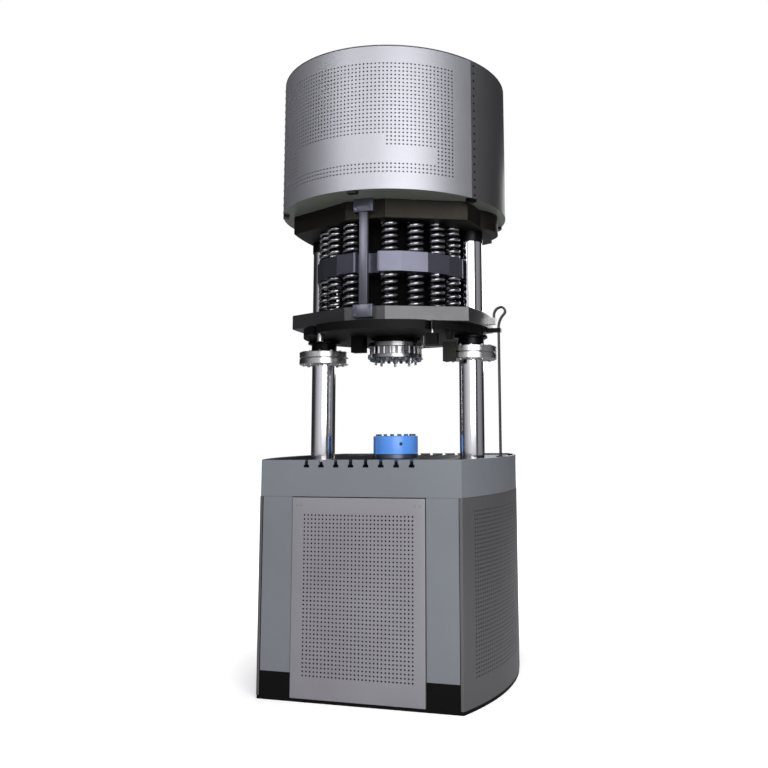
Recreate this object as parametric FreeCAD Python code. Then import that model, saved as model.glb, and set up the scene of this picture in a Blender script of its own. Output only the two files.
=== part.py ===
import FreeCAD, Part
import math
import os

# Resonance fatigue-testing rig. X runs along the two columns, the front looks
# along -Y, Z is up, and the origin is on the floor under the load axis.
V = FreeCAD.Vector

# Cabinet: flat front and rear, bowed sides.
CORNER_X = 531.5
FRONT_Y = 526.5
BOW = 126.0
SHEET = 3.0
RIM_Z = 1162.0
RIM_LIP = 14.0
BAND_BOTTOM = 981.0
PLINTH_TOP = 135.0
DOOR_HALF = 349.0
DOOR_PROUD = 8.0
SIDE_PROUD = 2.0
SIDE_RETURN = 12.0
DOOR_BOTTOM = 18.0
DOOR_TOP = 977.0
PANEL_GAP = 4.0
FASTENER_IN = 38.0
FASTENER_DOWN = 36.0
FASTENER_HALF_STEP = 12.0
FASTENER_R = 5.0
FASTENER_H = 3.0
SEAM = 1.0
BASE_THICK = 18.0
FRAME_TUBE = 50.0
RAIL_X = 518.0
RAIL_W = 22.0

# Bed and table.
BED_X = 500.0
BED_Y = 400.0
BED_THICK = 260.0
TABLE_THICK = 90.0
TABLE_DROP = 10.0
TABLE_X = 560.0
DECK_THICK = 8.0
SLOT_PITCH = 80.0
SLOT_COUNT = 8
SLOT_NECK = 18.0
SLOT_HEAD = 30.0
SLOT_HEAD_H = 14.0
SLOT_NECK_H = 14.0
AIR_MOUNT_R = 95.0
AIR_MOUNT_X = 360.0
AIR_MOUNT_Y = 240.0
PEDESTAL_H = 520.0
PEDESTAL_HALF = 110.0

# Columns.
COLUMN_X = 444.0
COLUMN_R = 67.5
COLUMN_TOP = 2900.0
COLUMN_FOOT = 120.0
COLUMN_CHAMFER = 4.0
FOOT_NUT_R = 110.0
FOOT_NUT_H = 70.0
RUN_CLEARANCE = 0.05

# Load cell.
CELL_R = 123.5
CELL_BASE_R = 126.0
CELL_BASE_H = 25.0
CELL_BODY_H = 97.0
CELL_BOLT_PCR = 104.0
CELL_BOLT_COUNT = 16
CELL_BOLT_R = 8.0
CELL_BOLT_H = 11.0
CELL_CHAMFER = 4.0
CELL_HOLE_PCR = 70.0
CELL_HOLE_R = 6.0
CELL_HOLE_DEPTH = 30.0
CELL_HOLE_COUNT = 4
SOCKET_R = 8.0
SOCKET_DEPTH = 14.0
SOCKET_RISE = 54.0
SOCKET_AZIMUTH = 34.0
SEAT = 0.3

# Yoke plates of the crosshead.
NOSE_X = 112.0
NOSE_Y = 456.0
SHOULDER_X = 506.0
SHOULDER_Y = 272.0
YOKE_SIDE_X = 532.0
LOWER_YOKE_Z = 1864.0
LOWER_YOKE_T = 78.0
UPPER_YOKE_Z = 2403.0
UPPER_YOKE_T = 102.0
UNDER_PLATE_R = 514.0
UNDER_PLATE_T = 45.0
UNDER_BORE_R = 140.0
YOKE_BORE_R = 110.0

# Bushes and hydraulic clamp rings on the columns.
BUSH_R = 72.0
BUSH_FLANGE_R = 92.0
BUSH_FLANGE_T = 14.0
CLAMP_R = 140.0
CLAMP_RING_T = 35.0
CLAMP_GAP = 1.0
CLAMP_BOTTOM = 1687.0
CLAMP_BOLT_PCR = 118.0
CLAMP_BOLT_COUNT = 12
CLAMP_BOLT_R = 9.0
CLAMP_BOLT_H = 10.0
CLAMP_SPACER_IN = 8.0
BUSH_DROP = 60.0

# Tie bars between the yokes.
TIE_W = 46.0
TIE_T = 24.0
TIE_BLOCK_W = 108.0
TIE_BLOCK_T = 30.0
TIE_BLOCK_H = 68.0
TIE_BLOCK_RISE = 16.0

# Resonating plate, its springs, shaft and grip.
MID_Z = 2128.0
MID_T = 105.0
MID_R = 442.0
MID_CORNERS = (9.5, 24.5, 43.0, 61.0, 76.0)
MID_NOTCH_HALF = 62.0
MID_NOTCH_DEPTH = 46.0
COLUMN_CLEAR = 22.0
PLATE_CLEAR = 32.0
SPRING_RING_R = 390.0
SPRING_R = 49.0
SPRING_WIRE = 22.0
SPRING_TURNS = 5.0
SPRING_AZIMUTHS = (16.0, 35.5, 54.0, 72.0)
SPRING_TWIST = 3.0
SHAFT_R = 74.0
GRIP_TOP = 1792.0
ADAPTER_R = 122.0
ADAPTER_T = 40.0
GRIP_R = 157.0
GRIP_T = 88.0
GRIP_WAIST = 16.0
GRIP_FLANGE = 24.0
GRIP_HOLE_COUNT = 4
GRIP_HOLE_PCR = 80.0
GRIP_HOLE_R = 8.0
GRIP_HOLE_DEPTH = 40.0
GRIP_BOLT_PCR = 136.0
GRIP_BOLT_COUNT = 24
GRIP_BOLT_R = 9.0
GRIP_BOLT_H = 12.0
GRIP_STUD_PCR = 112.0
GRIP_STUD_COUNT = 8
GRIP_STUD_R = 7.0
GRIP_STUD_DROP = 33.0

# Exciter in the hood.
MAGNET_R = 250.0
MAGNET_BORE_R = 86.0
MAGNET_T = 150.0
MASS_R = 300.0
MASS_DISC_T = 60.0
MASS_DISC_COUNT = 4
AIR_GAP = 30.0
NUT_R = 105.0
NUT_H = 50.0
NUT_FLANGE = 16.0
SHAFT_END = 12.0

# Hood.
HOOD_R = 635.0
HOOD_BOTTOM = 2505.0
HOOD_TOP = 3265.0
HOOD_SHEET = 3.0
CAP_T = 7.0
HOOD_FLOOR_T = 6.0
HOOD_SEAM = 59.2
HOOD_SEAM_GAP = 0.3
HOOD_STRAP = 40.0
HOOD_SCREW_COUNT = 18
HOOD_SCREW_STEP = 1.9
HOOD_SCREW_R = 4.0
RIM_CLIP_COUNT = 6
RIM_CLIP_W = 50.0
RIM_CLIP_D = 32.0
RIM_CLIP_H = 15.0
COVER_Y = 49.0
COVER_HALF = 159.0
COVER_X = 590.0

# Hydraulic line to the clamps, small pieces under the lower yoke.
MANIFOLD_X = 326.0
MANIFOLD_Y = -152.0
MANIFOLD_W = 70.0
MANIFOLD_DROP = 16.0
PIPE_R = 4.0
PIPE_X = 208.0
PIPE_Y = -122.0
PIPE_DROP = 62.0
SWITCH_X = 327.0
SWITCH_Y = -335.0
SWITCH_W = 60.0
SWITCH_D = 30.0
SWITCH_H = 60.0
SWITCH_DROP = 62.0
SWITCH_ROD_R = 8.0
PIN_X = -307.0
PIN_R = 17.5
PIN_DROP = 79.0
ROD_ROOM = 6.0
KNOB_IN = 109.0
KNOB_Y = -290.0
KNOB_W = 28.0
KNOB_H = 45.0
SENSOR_X = -200.0
SENSOR_Y = -172.0
SENSOR_W = 72.0
SENSOR_D = 60.0
SENSOR_H = 84.0

# Hoses beside the right column.
HOSE_R = 6.0
HOSE_GAP = 1.0
HOSE_X = 588.0
HOSE_Y = 60.0
HOSE_FOOT = 700.0
HOSE_LOOP = ((0, 1886), (13, 1922), (44, 1956), (24, 1986), (-10, 1976), (-26, 1950))
HOSE_CLIP_MARGIN = 12.0
FITTING_WALL = 4.0
CLIP_HALF = 19.0
CLIP_T = 22.0
CLIP_GAP = 2.0
FITTING_X = 562.0
FITTING_TOP = 1922.0
GROMMET_R = 24.0
GROMMET_BORE = 17.0
GROMMET_T = 9.0

TABLE_TOP = RIM_Z - TABLE_DROP
LOWER_TOP = LOWER_YOKE_Z + LOWER_YOKE_T
UPPER_TOP = UPPER_YOKE_Z + UPPER_YOKE_T
MID_TOP = MID_Z + MID_T
UNDER_Z = LOWER_YOKE_Z - UNDER_PLATE_T
CLAMP_TOP = CLAMP_BOTTOM + 2 * CLAMP_RING_T + CLAMP_GAP
GRIP_BOTTOM = GRIP_TOP - GRIP_T


def save(name, *solids):
    """Write one node, made of one or more separate solids."""
    shape = solids[0] if len(solids) == 1 else Part.makeCompound(list(solids))
    shape.exportStep("parts/%s.step" % name)


def cylinder(radius, z0, z1, x=0.0, y=0.0):
    return Part.makeCylinder(radius, z1 - z0, V(x, y, z0))


def ring(outer, inner, z0, z1, x=0.0, y=0.0):
    return cylinder(outer, z0, z1, x, y).cut(cylinder(inner, z0 - 1, z1 + 1, x, y))


def block(x0, x1, y0, y1, z0, z1):
    return Part.makeBox(x1 - x0, y1 - y0, z1 - z0, V(x0, y0, z0))


def polar(radius, azimuth, z=0.0):
    """A point by azimuth, counted from the front towards +X."""
    a = math.radians(azimuth)
    return V(radius * math.sin(a), -radius * math.cos(a), z)


def around(count, radius, start=0.0):
    return [polar(radius, start + 360.0 * i / count) for i in range(count)]


def both_sides(shape):
    """A shape and its mirror image across the YZ plane."""
    return shape, shape.mirror(V(0, 0, 0), V(1, 0, 0))


def mirrored_y(shape):
    return shape.mirror(V(0, 0, 0), V(0, 1, 0))


def cap_screws(places, radius, z_seat, height, downwards=False):
    """Separate round screw heads on a seat, standing up or hanging down."""
    heads = []
    for p in places:
        z0 = z_seat - height if downwards else z_seat
        heads.append(cylinder(radius, z0, z0 + height, p.x, p.y))
    return heads


def bowed_face(corner_x, half_y, bow, inset=0.0):
    """Plan of the cabinet: straight front and rear, arcs at both sides."""
    x = corner_x - inset
    y = half_y - inset
    right = Part.Arc(V(x, -y, 0), V(corner_x + bow - inset, 0, 0), V(x, y, 0)).toShape()
    left = Part.Arc(V(-x, y, 0), V(-corner_x - bow + inset, 0, 0), V(-x, -y, 0)).toShape()
    front = Part.makeLine(V(-x, -y, 0), V(x, -y, 0))
    rear = Part.makeLine(V(x, y, 0), V(-x, y, 0))
    return Part.Face(Part.Wire([front, right, rear, left]))


def bowed_prism(z0, z1, inset=0.0):
    face = bowed_face(CORNER_X, FRONT_Y, BOW, inset)
    face.translate(V(0, 0, z0))
    return face.extrude(V(0, 0, z1 - z0))


def yoke_face():
    """Plan shared by the yoke plates: a nose front and rear, bowed flanks."""
    right = Part.Arc(V(SHOULDER_X, -SHOULDER_Y, 0), V(YOKE_SIDE_X, 0, 0), V(SHOULDER_X, SHOULDER_Y, 0))
    left = Part.Arc(V(-SHOULDER_X, SHOULDER_Y, 0), V(-YOKE_SIDE_X, 0, 0), V(-SHOULDER_X, -SHOULDER_Y, 0))
    front = Part.makePolygon([V(-SHOULDER_X, -SHOULDER_Y, 0), V(-NOSE_X, -NOSE_Y, 0),
                              V(NOSE_X, -NOSE_Y, 0), V(SHOULDER_X, -SHOULDER_Y, 0)])
    rear = Part.makePolygon([V(SHOULDER_X, SHOULDER_Y, 0), V(NOSE_X, NOSE_Y, 0),
                             V(-NOSE_X, NOSE_Y, 0), V(-SHOULDER_X, SHOULDER_Y, 0)])
    edges = front.Edges + [right.toShape()] + rear.Edges + [left.toShape()]
    return Part.Face(Part.Wire(edges))


def column_bores(radius, z0, z1):
    holes = both_sides(cylinder(radius, z0, z1, COLUMN_X))
    return holes[0].fuse(holes[1])


def yoke_prism(z, thick):
    face = yoke_face()
    face.translate(V(0, 0, z))
    return face.extrude(V(0, 0, thick))


def yoke_plate(z, thick, chamfer=3.0):
    plate = yoke_prism(z, thick)
    rims = [e for e in plate.Edges if abs(e.BoundBox.ZMax - e.BoundBox.ZMin) < 0.01]
    plate = plate.makeChamfer(chamfer, rims)
    plate = plate.cut(cylinder(YOKE_BORE_R, z - 1, z + thick + 1))
    return plate.cut(column_bores(BUSH_R + SEAT, z - 1, z + thick + 1))


def cut_to_flank(shape, z, thick):
    """A piece on the right flank of a yoke, cut to seat on it."""
    flank = yoke_prism(z, thick)
    flank.translate(V(SEAT, 0, 0))
    return shape.cut(flank)


def arc_route(points, share=0.45):
    """Straight runs joined by tangent arcs, and the arcs' radii."""
    edges = []
    radii = []
    last = points[0]
    for before, corner, after in zip(points, points[1:], points[2:]):
        run_in = corner - before
        run_out = after - corner
        turn = run_in.getAngle(run_out)
        reach = share * min(run_in.Length, run_out.Length)
        radii.append(reach / math.tan(turn / 2))
        a = corner - V(run_in).normalize() * reach
        b = corner + V(run_out).normalize() * reach
        mid_dir = (V(run_out).normalize() - V(run_in).normalize()).normalize()
        bulge = radii[-1] * (1 / math.cos(turn / 2) - 1)
        edges.append(Part.makeLine(last, a))
        edges.append(Part.Arc(a, corner + mid_dir * bulge, b).toShape())
        last = b
    edges.append(Part.makeLine(last, points[-1]))
    return Part.Wire(edges), radii


def tube(points, radius):
    wire, radii = arc_route(points)
    start = (points[1] - points[0]).normalize()
    profile = Part.Wire(Part.makeCircle(radius, points[0], start))
    return wire.makePipeShell([profile], True, False), radii


os.makedirs("parts", exist_ok=True)

# Floor plate under everything, with the same bowed plan as the cabinet.
save("floor_plate", bowed_prism(0, BASE_THICK))

# Welded frame that carries the panels: four posts, rails under the band and
# at mid height, and cross rails front and rear.
post_x = CORNER_X - SHEET - SEAT - FRAME_TUBE / 2
post_y = FRONT_Y - SHEET - SEAT - FRAME_TUBE / 2
half = FRAME_TUBE / 2
posts = []
for sx in (-1, 1):
    for sy in (-1, 1):
        for px in (post_x, DOOR_HALF):
            cx = sx * px
            cy = sy * post_y
            posts.append(block(cx - half, cx + half, cy - half, cy + half, BASE_THICK, BAND_BOTTOM))
rails = []
for sy in (-1, 1):
    cy = sy * post_y
    rail_x = post_x + half
    rails.append(block(-rail_x, rail_x, cy - half, cy + half, BAND_BOTTOM, BAND_BOTTOM + FRAME_TUBE))
side_rail = block(RAIL_X, RAIL_X + RAIL_W, -post_y, post_y, BAND_BOTTOM, BAND_BOTTOM + FRAME_TUBE)
rails += both_sides(side_rail)
cabinet_frame = posts[0].multiFuse(posts[1:] + rails).removeSplitter()
save("cabinet_frame", cabinet_frame)

# Top band: a bowed sheet collar with a narrow inward lip, cut for the slots.
band = bowed_prism(BAND_BOTTOM, RIM_Z).cut(bowed_prism(BAND_BOTTOM - 1, RIM_Z - SHEET, SHEET))
band = band.cut(bowed_prism(RIM_Z - SHEET - 1, RIM_Z + 1, RIM_LIP))
slot_cuts = []
slot_head_top = TABLE_TOP - SLOT_NECK_H
y0 = -2 * FRONT_Y
y1 = 2 * FRONT_Y
for i in range(SLOT_COUNT):
    sx = (i - (SLOT_COUNT - 1) / 2) * SLOT_PITCH
    neck = block(sx - SLOT_NECK / 2, sx + SLOT_NECK / 2, y0, y1, slot_head_top - 1, RIM_Z + 10)
    head = block(sx - SLOT_HEAD / 2, sx + SLOT_HEAD / 2, y0, y1, slot_head_top - SLOT_HEAD_H, slot_head_top)
    slot_cuts.append(neck.fuse(head))
slots = slot_cuts[0].multiFuse(slot_cuts[1:])
save("top_band", band.cut(slots))

# Slotted table, built up: a base plate, nine web bars on it and nine wider
# top bars, which leave the T-slots between them. Dark deck sheets close the
# space between the table and the rim.
table_half_y = FRONT_Y - RIM_LIP - SEAT
slot_head_z = slot_head_top - SLOT_HEAD_H
inner = bowed_prism(TABLE_TOP - TABLE_THICK - 1, TABLE_TOP + 1, SHEET + SEAT)
inner = inner.cut(column_bores(COLUMN_R + SEAT, TABLE_TOP - TABLE_THICK - 2, TABLE_TOP + 2))


def table_layer(z0, z1, slot_w):
    """One layer of the table: the bars that slots of this width leave."""
    layer = []
    for i in range(SLOT_COUNT + 1):
        x0 = (i - (SLOT_COUNT + 1) / 2) * SLOT_PITCH + slot_w / 2 if i else -TABLE_X
        x1 = (i - (SLOT_COUNT - 1) / 2) * SLOT_PITCH - slot_w / 2 if i < SLOT_COUNT else TABLE_X
        layer.append(block(x0, x1, -table_half_y, table_half_y, z0, z1).common(inner))
    return layer


table_plate = block(-TABLE_X, TABLE_X, -table_half_y, table_half_y, TABLE_TOP - TABLE_THICK, slot_head_z)
webs = table_layer(slot_head_z, slot_head_top, SLOT_HEAD)
tops = table_layer(slot_head_top, TABLE_TOP, SLOT_NECK)
save("tslot_table", table_plate.common(inner), *webs, *tops)
deck = bowed_prism(TABLE_TOP - DECK_THICK, TABLE_TOP, SHEET + SEAT)
deck = deck.cut(block(-TABLE_X, TABLE_X, -FRONT_Y, FRONT_Y, TABLE_TOP - 2 * DECK_THICK, TABLE_TOP + 1))
hose_y = (HOSE_Y - HOSE_R - HOSE_GAP / 2, HOSE_Y + HOSE_R + HOSE_GAP / 2)
deck = deck.cut(cylinder(GROMMET_BORE, TABLE_TOP - 2 * DECK_THICK, TABLE_TOP + 1, HOSE_X, HOSE_Y))
save("table_deck", *deck.Solids)
save("hose_grommet", ring(GROMMET_R, GROMMET_BORE, TABLE_TOP, TABLE_TOP + GROMMET_T, HOSE_X, HOSE_Y))

# Heavy bed under the table on four air mounts, each on a pedestal.
bed_top = TABLE_TOP - TABLE_THICK
bed_bottom = bed_top - BED_THICK
bed = block(-BED_X, BED_X, -BED_Y, BED_Y, bed_bottom, bed_top)
bed = bed.cut(column_bores(COLUMN_R + SEAT, bed_bottom - 1, bed_top + 1))
save("machine_bed", bed)
mount_bottom = BASE_THICK + PEDESTAL_H
pedestals = []
air_mounts = []
for sx in (-1, 1):
    for sy in (-1, 1):
        cx = sx * AIR_MOUNT_X
        cy = sy * AIR_MOUNT_Y
        h = PEDESTAL_HALF
        pedestals.append(block(cx - h, cx + h, cy - h, cy + h, BASE_THICK, mount_bottom))
        air_mounts.append(cylinder(AIR_MOUNT_R, mount_bottom, bed_bottom, cx, cy))
save("pedestals", *pedestals)
save("air_mounts", *air_mounts)

# Plinth blocks beside the door, front and rear.
strip_in = DOOR_HALF + PANEL_GAP
strip_out = CORNER_X - SIDE_RETURN - PANEL_GAP
plinths = []
for sy in (-1, 1):
    outer = bowed_prism(BASE_THICK, PLINTH_TOP).cut(bowed_prism(0, PLINTH_TOP + 1, SHEET))
    for sx in (-1, 1):
        xs = sorted((sx * strip_in, sx * strip_out))
        ys = sorted((sy * (FRONT_Y - SHEET), sy * (FRONT_Y + 1)))
        plinths.append(outer.common(block(xs[0], xs[1], ys[0], ys[1], 0, PLINTH_TOP + 1)))
save("plinth_blocks", *plinths)

# Flat corner strips beside the doors, front and rear.
strip_top = BAND_BOTTOM - SEAM
strips = []
for sy in (-1, 1):
    for sx in (-1, 1):
        xs = sorted((sx * strip_in, sx * strip_out))
        ys = sorted((sy * (FRONT_Y - SHEET), sy * FRONT_Y))
        strips.append(block(xs[0], xs[1], ys[0], ys[1], PLINTH_TOP, strip_top))
save("corner_strips", *strips)

# Door panels: shallow trays that stand proud of the strips.
def door(sy):
    y_out = FRONT_Y + DOOR_PROUD
    outer = block(-DOOR_HALF, DOOR_HALF, -y_out, -FRONT_Y + SHEET + SEAT, DOOR_BOTTOM, DOOR_TOP)
    x_in = DOOR_HALF - SHEET
    hollow = block(-x_in, x_in, -y_out + SHEET, 0, DOOR_BOTTOM + SHEET, DOOR_TOP - SHEET)
    tray = outer.cut(hollow)
    return tray if sy < 0 else mirrored_y(tray)


save("front_door", door(-1))
save("rear_door", door(1))
fastener_z = DOOR_TOP - FASTENER_DOWN
fasteners = []
for sx in (-1, 1):
    for dx in (-FASTENER_HALF_STEP, FASTENER_HALF_STEP):
        for sy in (-1, 1):
            y0 = sy * (FRONT_Y + DOOR_PROUD)
            at = V(sx * (DOOR_HALF - FASTENER_IN) + dx, y0, fastener_z)
            stud = Part.makeCylinder(FASTENER_R, FASTENER_H, at, V(0, sy, 0))
            fasteners.append(stud)
save("door_fasteners", *fasteners)

# Bowed side panels, one curved sheet each, with an edge folded round the
# front and rear corners.
side_shell = bowed_prism(BASE_THICK, strip_top, -SIDE_PROUD).cut(bowed_prism(0, RIM_Z, SHEET - SIDE_PROUD))
right_half = block(CORNER_X - SIDE_RETURN, CORNER_X + 2 * BOW, -2 * FRONT_Y, 2 * FRONT_Y, 0, RIM_Z)
right_panel = side_shell.common(right_half)
panels = both_sides(right_panel)
save("side_panel_right", panels[0])
save("side_panel_left", panels[1])

# Columns, from under the bed up into the hood, held by nuts under the bed.
column = cylinder(COLUMN_R, bed_bottom - COLUMN_FOOT, COLUMN_TOP, COLUMN_X)
top_rim = [e for e in column.Edges if e.BoundBox.ZMin > COLUMN_TOP - 1]
columns = both_sides(column.makeChamfer(COLUMN_CHAMFER, top_rim))
save("column_right", columns[0])
save("column_left", columns[1])
save("column_nuts", *both_sides(ring(FOOT_NUT_R, COLUMN_R, bed_bottom - FOOT_NUT_H, bed_bottom, COLUMN_X)))

# Load cell on the load axis: foot flange, body with four tapped holes for the
# lower grip, connector socket, and the ring of screws on top.
cell_z0 = TABLE_TOP
cell_z1 = cell_z0 + CELL_BASE_H
cell_z2 = cell_z1 + CELL_BODY_H
save("load_cell_base", cylinder(CELL_BASE_R, cell_z0, cell_z1))
cell = cylinder(CELL_R, cell_z1, cell_z2)
cell_rims = [e for e in cell.Edges if abs(e.BoundBox.ZMin - cell_z2) < 0.01 and e.BoundBox.XMax > CELL_R - 1]
cell = cell.makeChamfer(CELL_CHAMFER, cell_rims)
socket_at = polar(CELL_R - SOCKET_DEPTH, SOCKET_AZIMUTH, cell_z1 + SOCKET_RISE)
cell = cell.cut(Part.makeCylinder(SOCKET_R, 2 * SOCKET_DEPTH, socket_at, polar(1, SOCKET_AZIMUTH)))
for p in around(CELL_HOLE_COUNT, CELL_HOLE_PCR, 45):
    cell = cell.cut(cylinder(CELL_HOLE_R, cell_z2 - CELL_HOLE_DEPTH, cell_z2 + 1, p.x, p.y))
save("load_cell", cell)
cell_screw_places = around(CELL_BOLT_COUNT, CELL_BOLT_PCR, 180 / CELL_BOLT_COUNT)
save("load_cell_screws", *cap_screws(cell_screw_places, CELL_BOLT_R, cell_z2, CELL_BOLT_H))

# Crosshead: lower yoke, the black housing plate under it, upper yoke.
lower_yoke = yoke_plate(LOWER_YOKE_Z, LOWER_YOKE_T)
save("lower_yoke", lower_yoke)
under = cylinder(UNDER_PLATE_R, UNDER_Z, LOWER_YOKE_Z)
under = under.cut(cylinder(UNDER_BORE_R, UNDER_Z - 1, LOWER_YOKE_Z + 1))
under = under.cut(column_bores(BUSH_R + SEAT, UNDER_Z - 1, LOWER_YOKE_Z + 1))
for rod_x, rod_r in ((SWITCH_X, SWITCH_ROD_R), (PIN_X, PIN_R)):
    notch = rod_r + ROD_ROOM
    under = under.cut(cylinder(notch, UNDER_Z - 1, LOWER_YOKE_Z + 1, rod_x, SWITCH_Y))
    y_far = -2 * UNDER_PLATE_R
    under = under.cut(block(rod_x - notch, rod_x + notch, y_far, SWITCH_Y, UNDER_Z - 1, LOWER_YOKE_Z + 1))
save("under_plate", under)
upper_yoke = yoke_plate(UPPER_YOKE_Z, UPPER_YOKE_T)
save("upper_yoke", upper_yoke)

# Bushes: sleeves pressed into each yoke that slide on the columns.
bore_r = COLUMN_R + RUN_CLEARANCE
lower_bush = ring(BUSH_R, bore_r, CLAMP_TOP, LOWER_TOP, COLUMN_X)
lower_bush = lower_bush.fuse(ring(BUSH_FLANGE_R, bore_r, UNDER_Z - BUSH_FLANGE_T, UNDER_Z, COLUMN_X))
save("lower_bushes", *both_sides(lower_bush.removeSplitter()))
upper_bush = ring(BUSH_R, bore_r, UPPER_YOKE_Z - BUSH_DROP, UPPER_TOP, COLUMN_X)
save("upper_bushes", *both_sides(upper_bush))

# Clamp rings under the lower bushes, two per column, with their screws.
ring_low = ring(CLAMP_R, bore_r, CLAMP_BOTTOM, CLAMP_BOTTOM + CLAMP_RING_T, COLUMN_X)
ring_high = ring(CLAMP_R, bore_r, CLAMP_TOP - CLAMP_RING_T, CLAMP_TOP, COLUMN_X)
spacer = ring(CLAMP_R - CLAMP_SPACER_IN, bore_r, CLAMP_BOTTOM + CLAMP_RING_T,
              CLAMP_TOP - CLAMP_RING_T, COLUMN_X)
ring_low = ring_low.fuse(spacer).removeSplitter()
lows = both_sides(ring_low)
highs = both_sides(ring_high)
save("clamp_rings_right", lows[0], highs[0])
save("clamp_rings_left", lows[1], highs[1])
clamp_screws = []
for sx in (-1, 1):
    for p in around(CLAMP_BOLT_COUNT, CLAMP_BOLT_PCR, 180 / CLAMP_BOLT_COUNT):
        place = V(sx * COLUMN_X + p.x, p.y, 0)
        clamp_screws += cap_screws([place], CLAMP_BOLT_R, CLAMP_TOP, CLAMP_BOLT_H)
        clamp_screws += cap_screws([place], CLAMP_BOLT_R, CLAMP_BOTTOM, CLAMP_BOLT_H, True)
save("clamp_screws", *clamp_screws)

# Tie bars front and rear, with a block at each end bolted on the nose.
bar_y1 = -NOSE_Y
bar_y0 = bar_y1 - TIE_T
low_block_z = LOWER_YOKE_Z + TIE_BLOCK_RISE
high_block_z = UPPER_TOP - TIE_BLOCK_H
bar = block(-TIE_W / 2, TIE_W / 2, bar_y0, bar_y1, low_block_z + TIE_BLOCK_H, high_block_z)
block_x = TIE_BLOCK_W / 2
block_y0 = bar_y1 - TIE_BLOCK_T
low_tie = block(-block_x, block_x, block_y0, bar_y1, low_block_z, low_block_z + TIE_BLOCK_H)
high_tie = block(-block_x, block_x, block_y0, bar_y1, high_block_z, UPPER_TOP)
save("tie_bars", bar, mirrored_y(bar))
save("tie_blocks", low_tie, high_tie, mirrored_y(low_tie), mirrored_y(high_tie))

# Resonating plate between the yokes: a many-sided plate, notched behind the
# tie bars and cut back round the columns.
corner_angles = list(MID_CORNERS)
corner_angles += [180 - a for a in reversed(MID_CORNERS)]
corner_angles += [180 + a for a in MID_CORNERS]
corner_angles += [360 - a for a in reversed(MID_CORNERS)]
outline = [polar(MID_R, a, MID_Z) for a in corner_angles]
mid_plate = Part.Face(Part.makePolygon(outline + [outline[0]])).extrude(V(0, 0, MID_T))
mid_plate = mid_plate.cut(cylinder(SHAFT_R + SEAT, MID_Z - 1, MID_TOP + 1))
mid_plate = mid_plate.cut(column_bores(COLUMN_R + PLATE_CLEAR, MID_Z - 1, MID_TOP + 1))
for sy in (-1, 1):
    ys = sorted((sy * (MID_R - MID_NOTCH_DEPTH), sy * (MID_R + 10)))
    mid_plate = mid_plate.cut(block(-MID_NOTCH_HALF, MID_NOTCH_HALF, ys[0], ys[1], MID_Z - 1, MID_TOP + 1))
save("resonator_plate", mid_plate)

# Coil springs above and below the plate, sixteen in each layer, cut flat at
# both ends as ground ends are.
spring_angles = []
for a in SPRING_AZIMUTHS:
    spring_angles += [a, 180 - a, 180 + a, 360 - a]


def spring(z0, z1):
    """One spring on the Z axis: a round wire along a helix, ground flat."""
    mean_r = SPRING_R - SPRING_WIRE / 2
    pitch = (z1 - z0) / SPRING_TURNS
    run = Part.makeHelix(pitch, z1 - z0 + pitch, mean_r)
    wire = Part.Wire(Part.makeCircle(SPRING_WIRE / 2, V(mean_r, 0, 0), V(0, 1, 0)))
    coil = Part.Wire(run).makePipeShell([wire], True, True)
    coil.translate(V(0, 0, z0 - pitch / 2))
    return coil.common(cylinder(2 * SPRING_R, z0, z1))


def spring_layer(z0, z1):
    """The same spring at each place, turned with its azimuth."""
    coil = spring(z0, z1)
    layer = []
    for a in spring_angles:
        copy = coil.copy()
        copy.rotate(V(0, 0, 0), V(0, 0, 1), SPRING_TWIST * a)
        copy.translate(polar(SPRING_RING_R, a))
        layer.append(copy)
    return layer


save("springs_lower", *spring_layer(LOWER_TOP + SEAT, MID_Z - SEAT))
save("springs_upper", *spring_layer(MID_TOP + SEAT, UPPER_YOKE_Z - SEAT))

# Shaft that ties the grip, the resonating plate and the exciter mass together.
magnet_z = UPPER_TOP + HOOD_FLOOR_T
mass_z = magnet_z + MAGNET_T + AIR_GAP
mass_top = mass_z + MASS_DISC_COUNT * MASS_DISC_T
shaft = cylinder(SHAFT_R, GRIP_TOP + ADAPTER_T, mass_top + NUT_H + SHAFT_END)
save("resonator_shaft", shaft)
save("grip_adapter", cylinder(ADAPTER_R, GRIP_TOP, GRIP_TOP + ADAPTER_T))
nuts = []
for z0 in (MID_Z - NUT_H, MID_TOP, mass_z - NUT_FLANGE, mass_top):
    height = NUT_FLANGE if z0 == mass_z - NUT_FLANGE else NUT_H
    nuts.append(ring(NUT_R, SHAFT_R, z0, z0 + height))
save("shaft_nuts", *nuts)
grip = cylinder(GRIP_R, GRIP_BOTTOM, GRIP_TOP)
grip = grip.cut(ring(GRIP_R + 1, GRIP_R - GRIP_WAIST, GRIP_BOTTOM + GRIP_FLANGE, GRIP_TOP - GRIP_FLANGE))
for p in around(GRIP_HOLE_COUNT, GRIP_HOLE_PCR, 45):
    grip = grip.cut(cylinder(GRIP_HOLE_R, GRIP_BOTTOM - 1, GRIP_BOTTOM + GRIP_HOLE_DEPTH, p.x, p.y))
save("grip_head", grip)
grip_screw_places = around(GRIP_BOLT_COUNT, GRIP_BOLT_PCR, 180 / GRIP_BOLT_COUNT)
save("grip_screws", *cap_screws(grip_screw_places, GRIP_BOLT_R, GRIP_BOTTOM, GRIP_BOLT_H, True))
stud_places = around(GRIP_STUD_COUNT, GRIP_STUD_PCR, 180 / GRIP_STUD_COUNT)
save("grip_studs", *cap_screws(stud_places, GRIP_STUD_R, GRIP_BOTTOM, GRIP_STUD_DROP, True))

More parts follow.
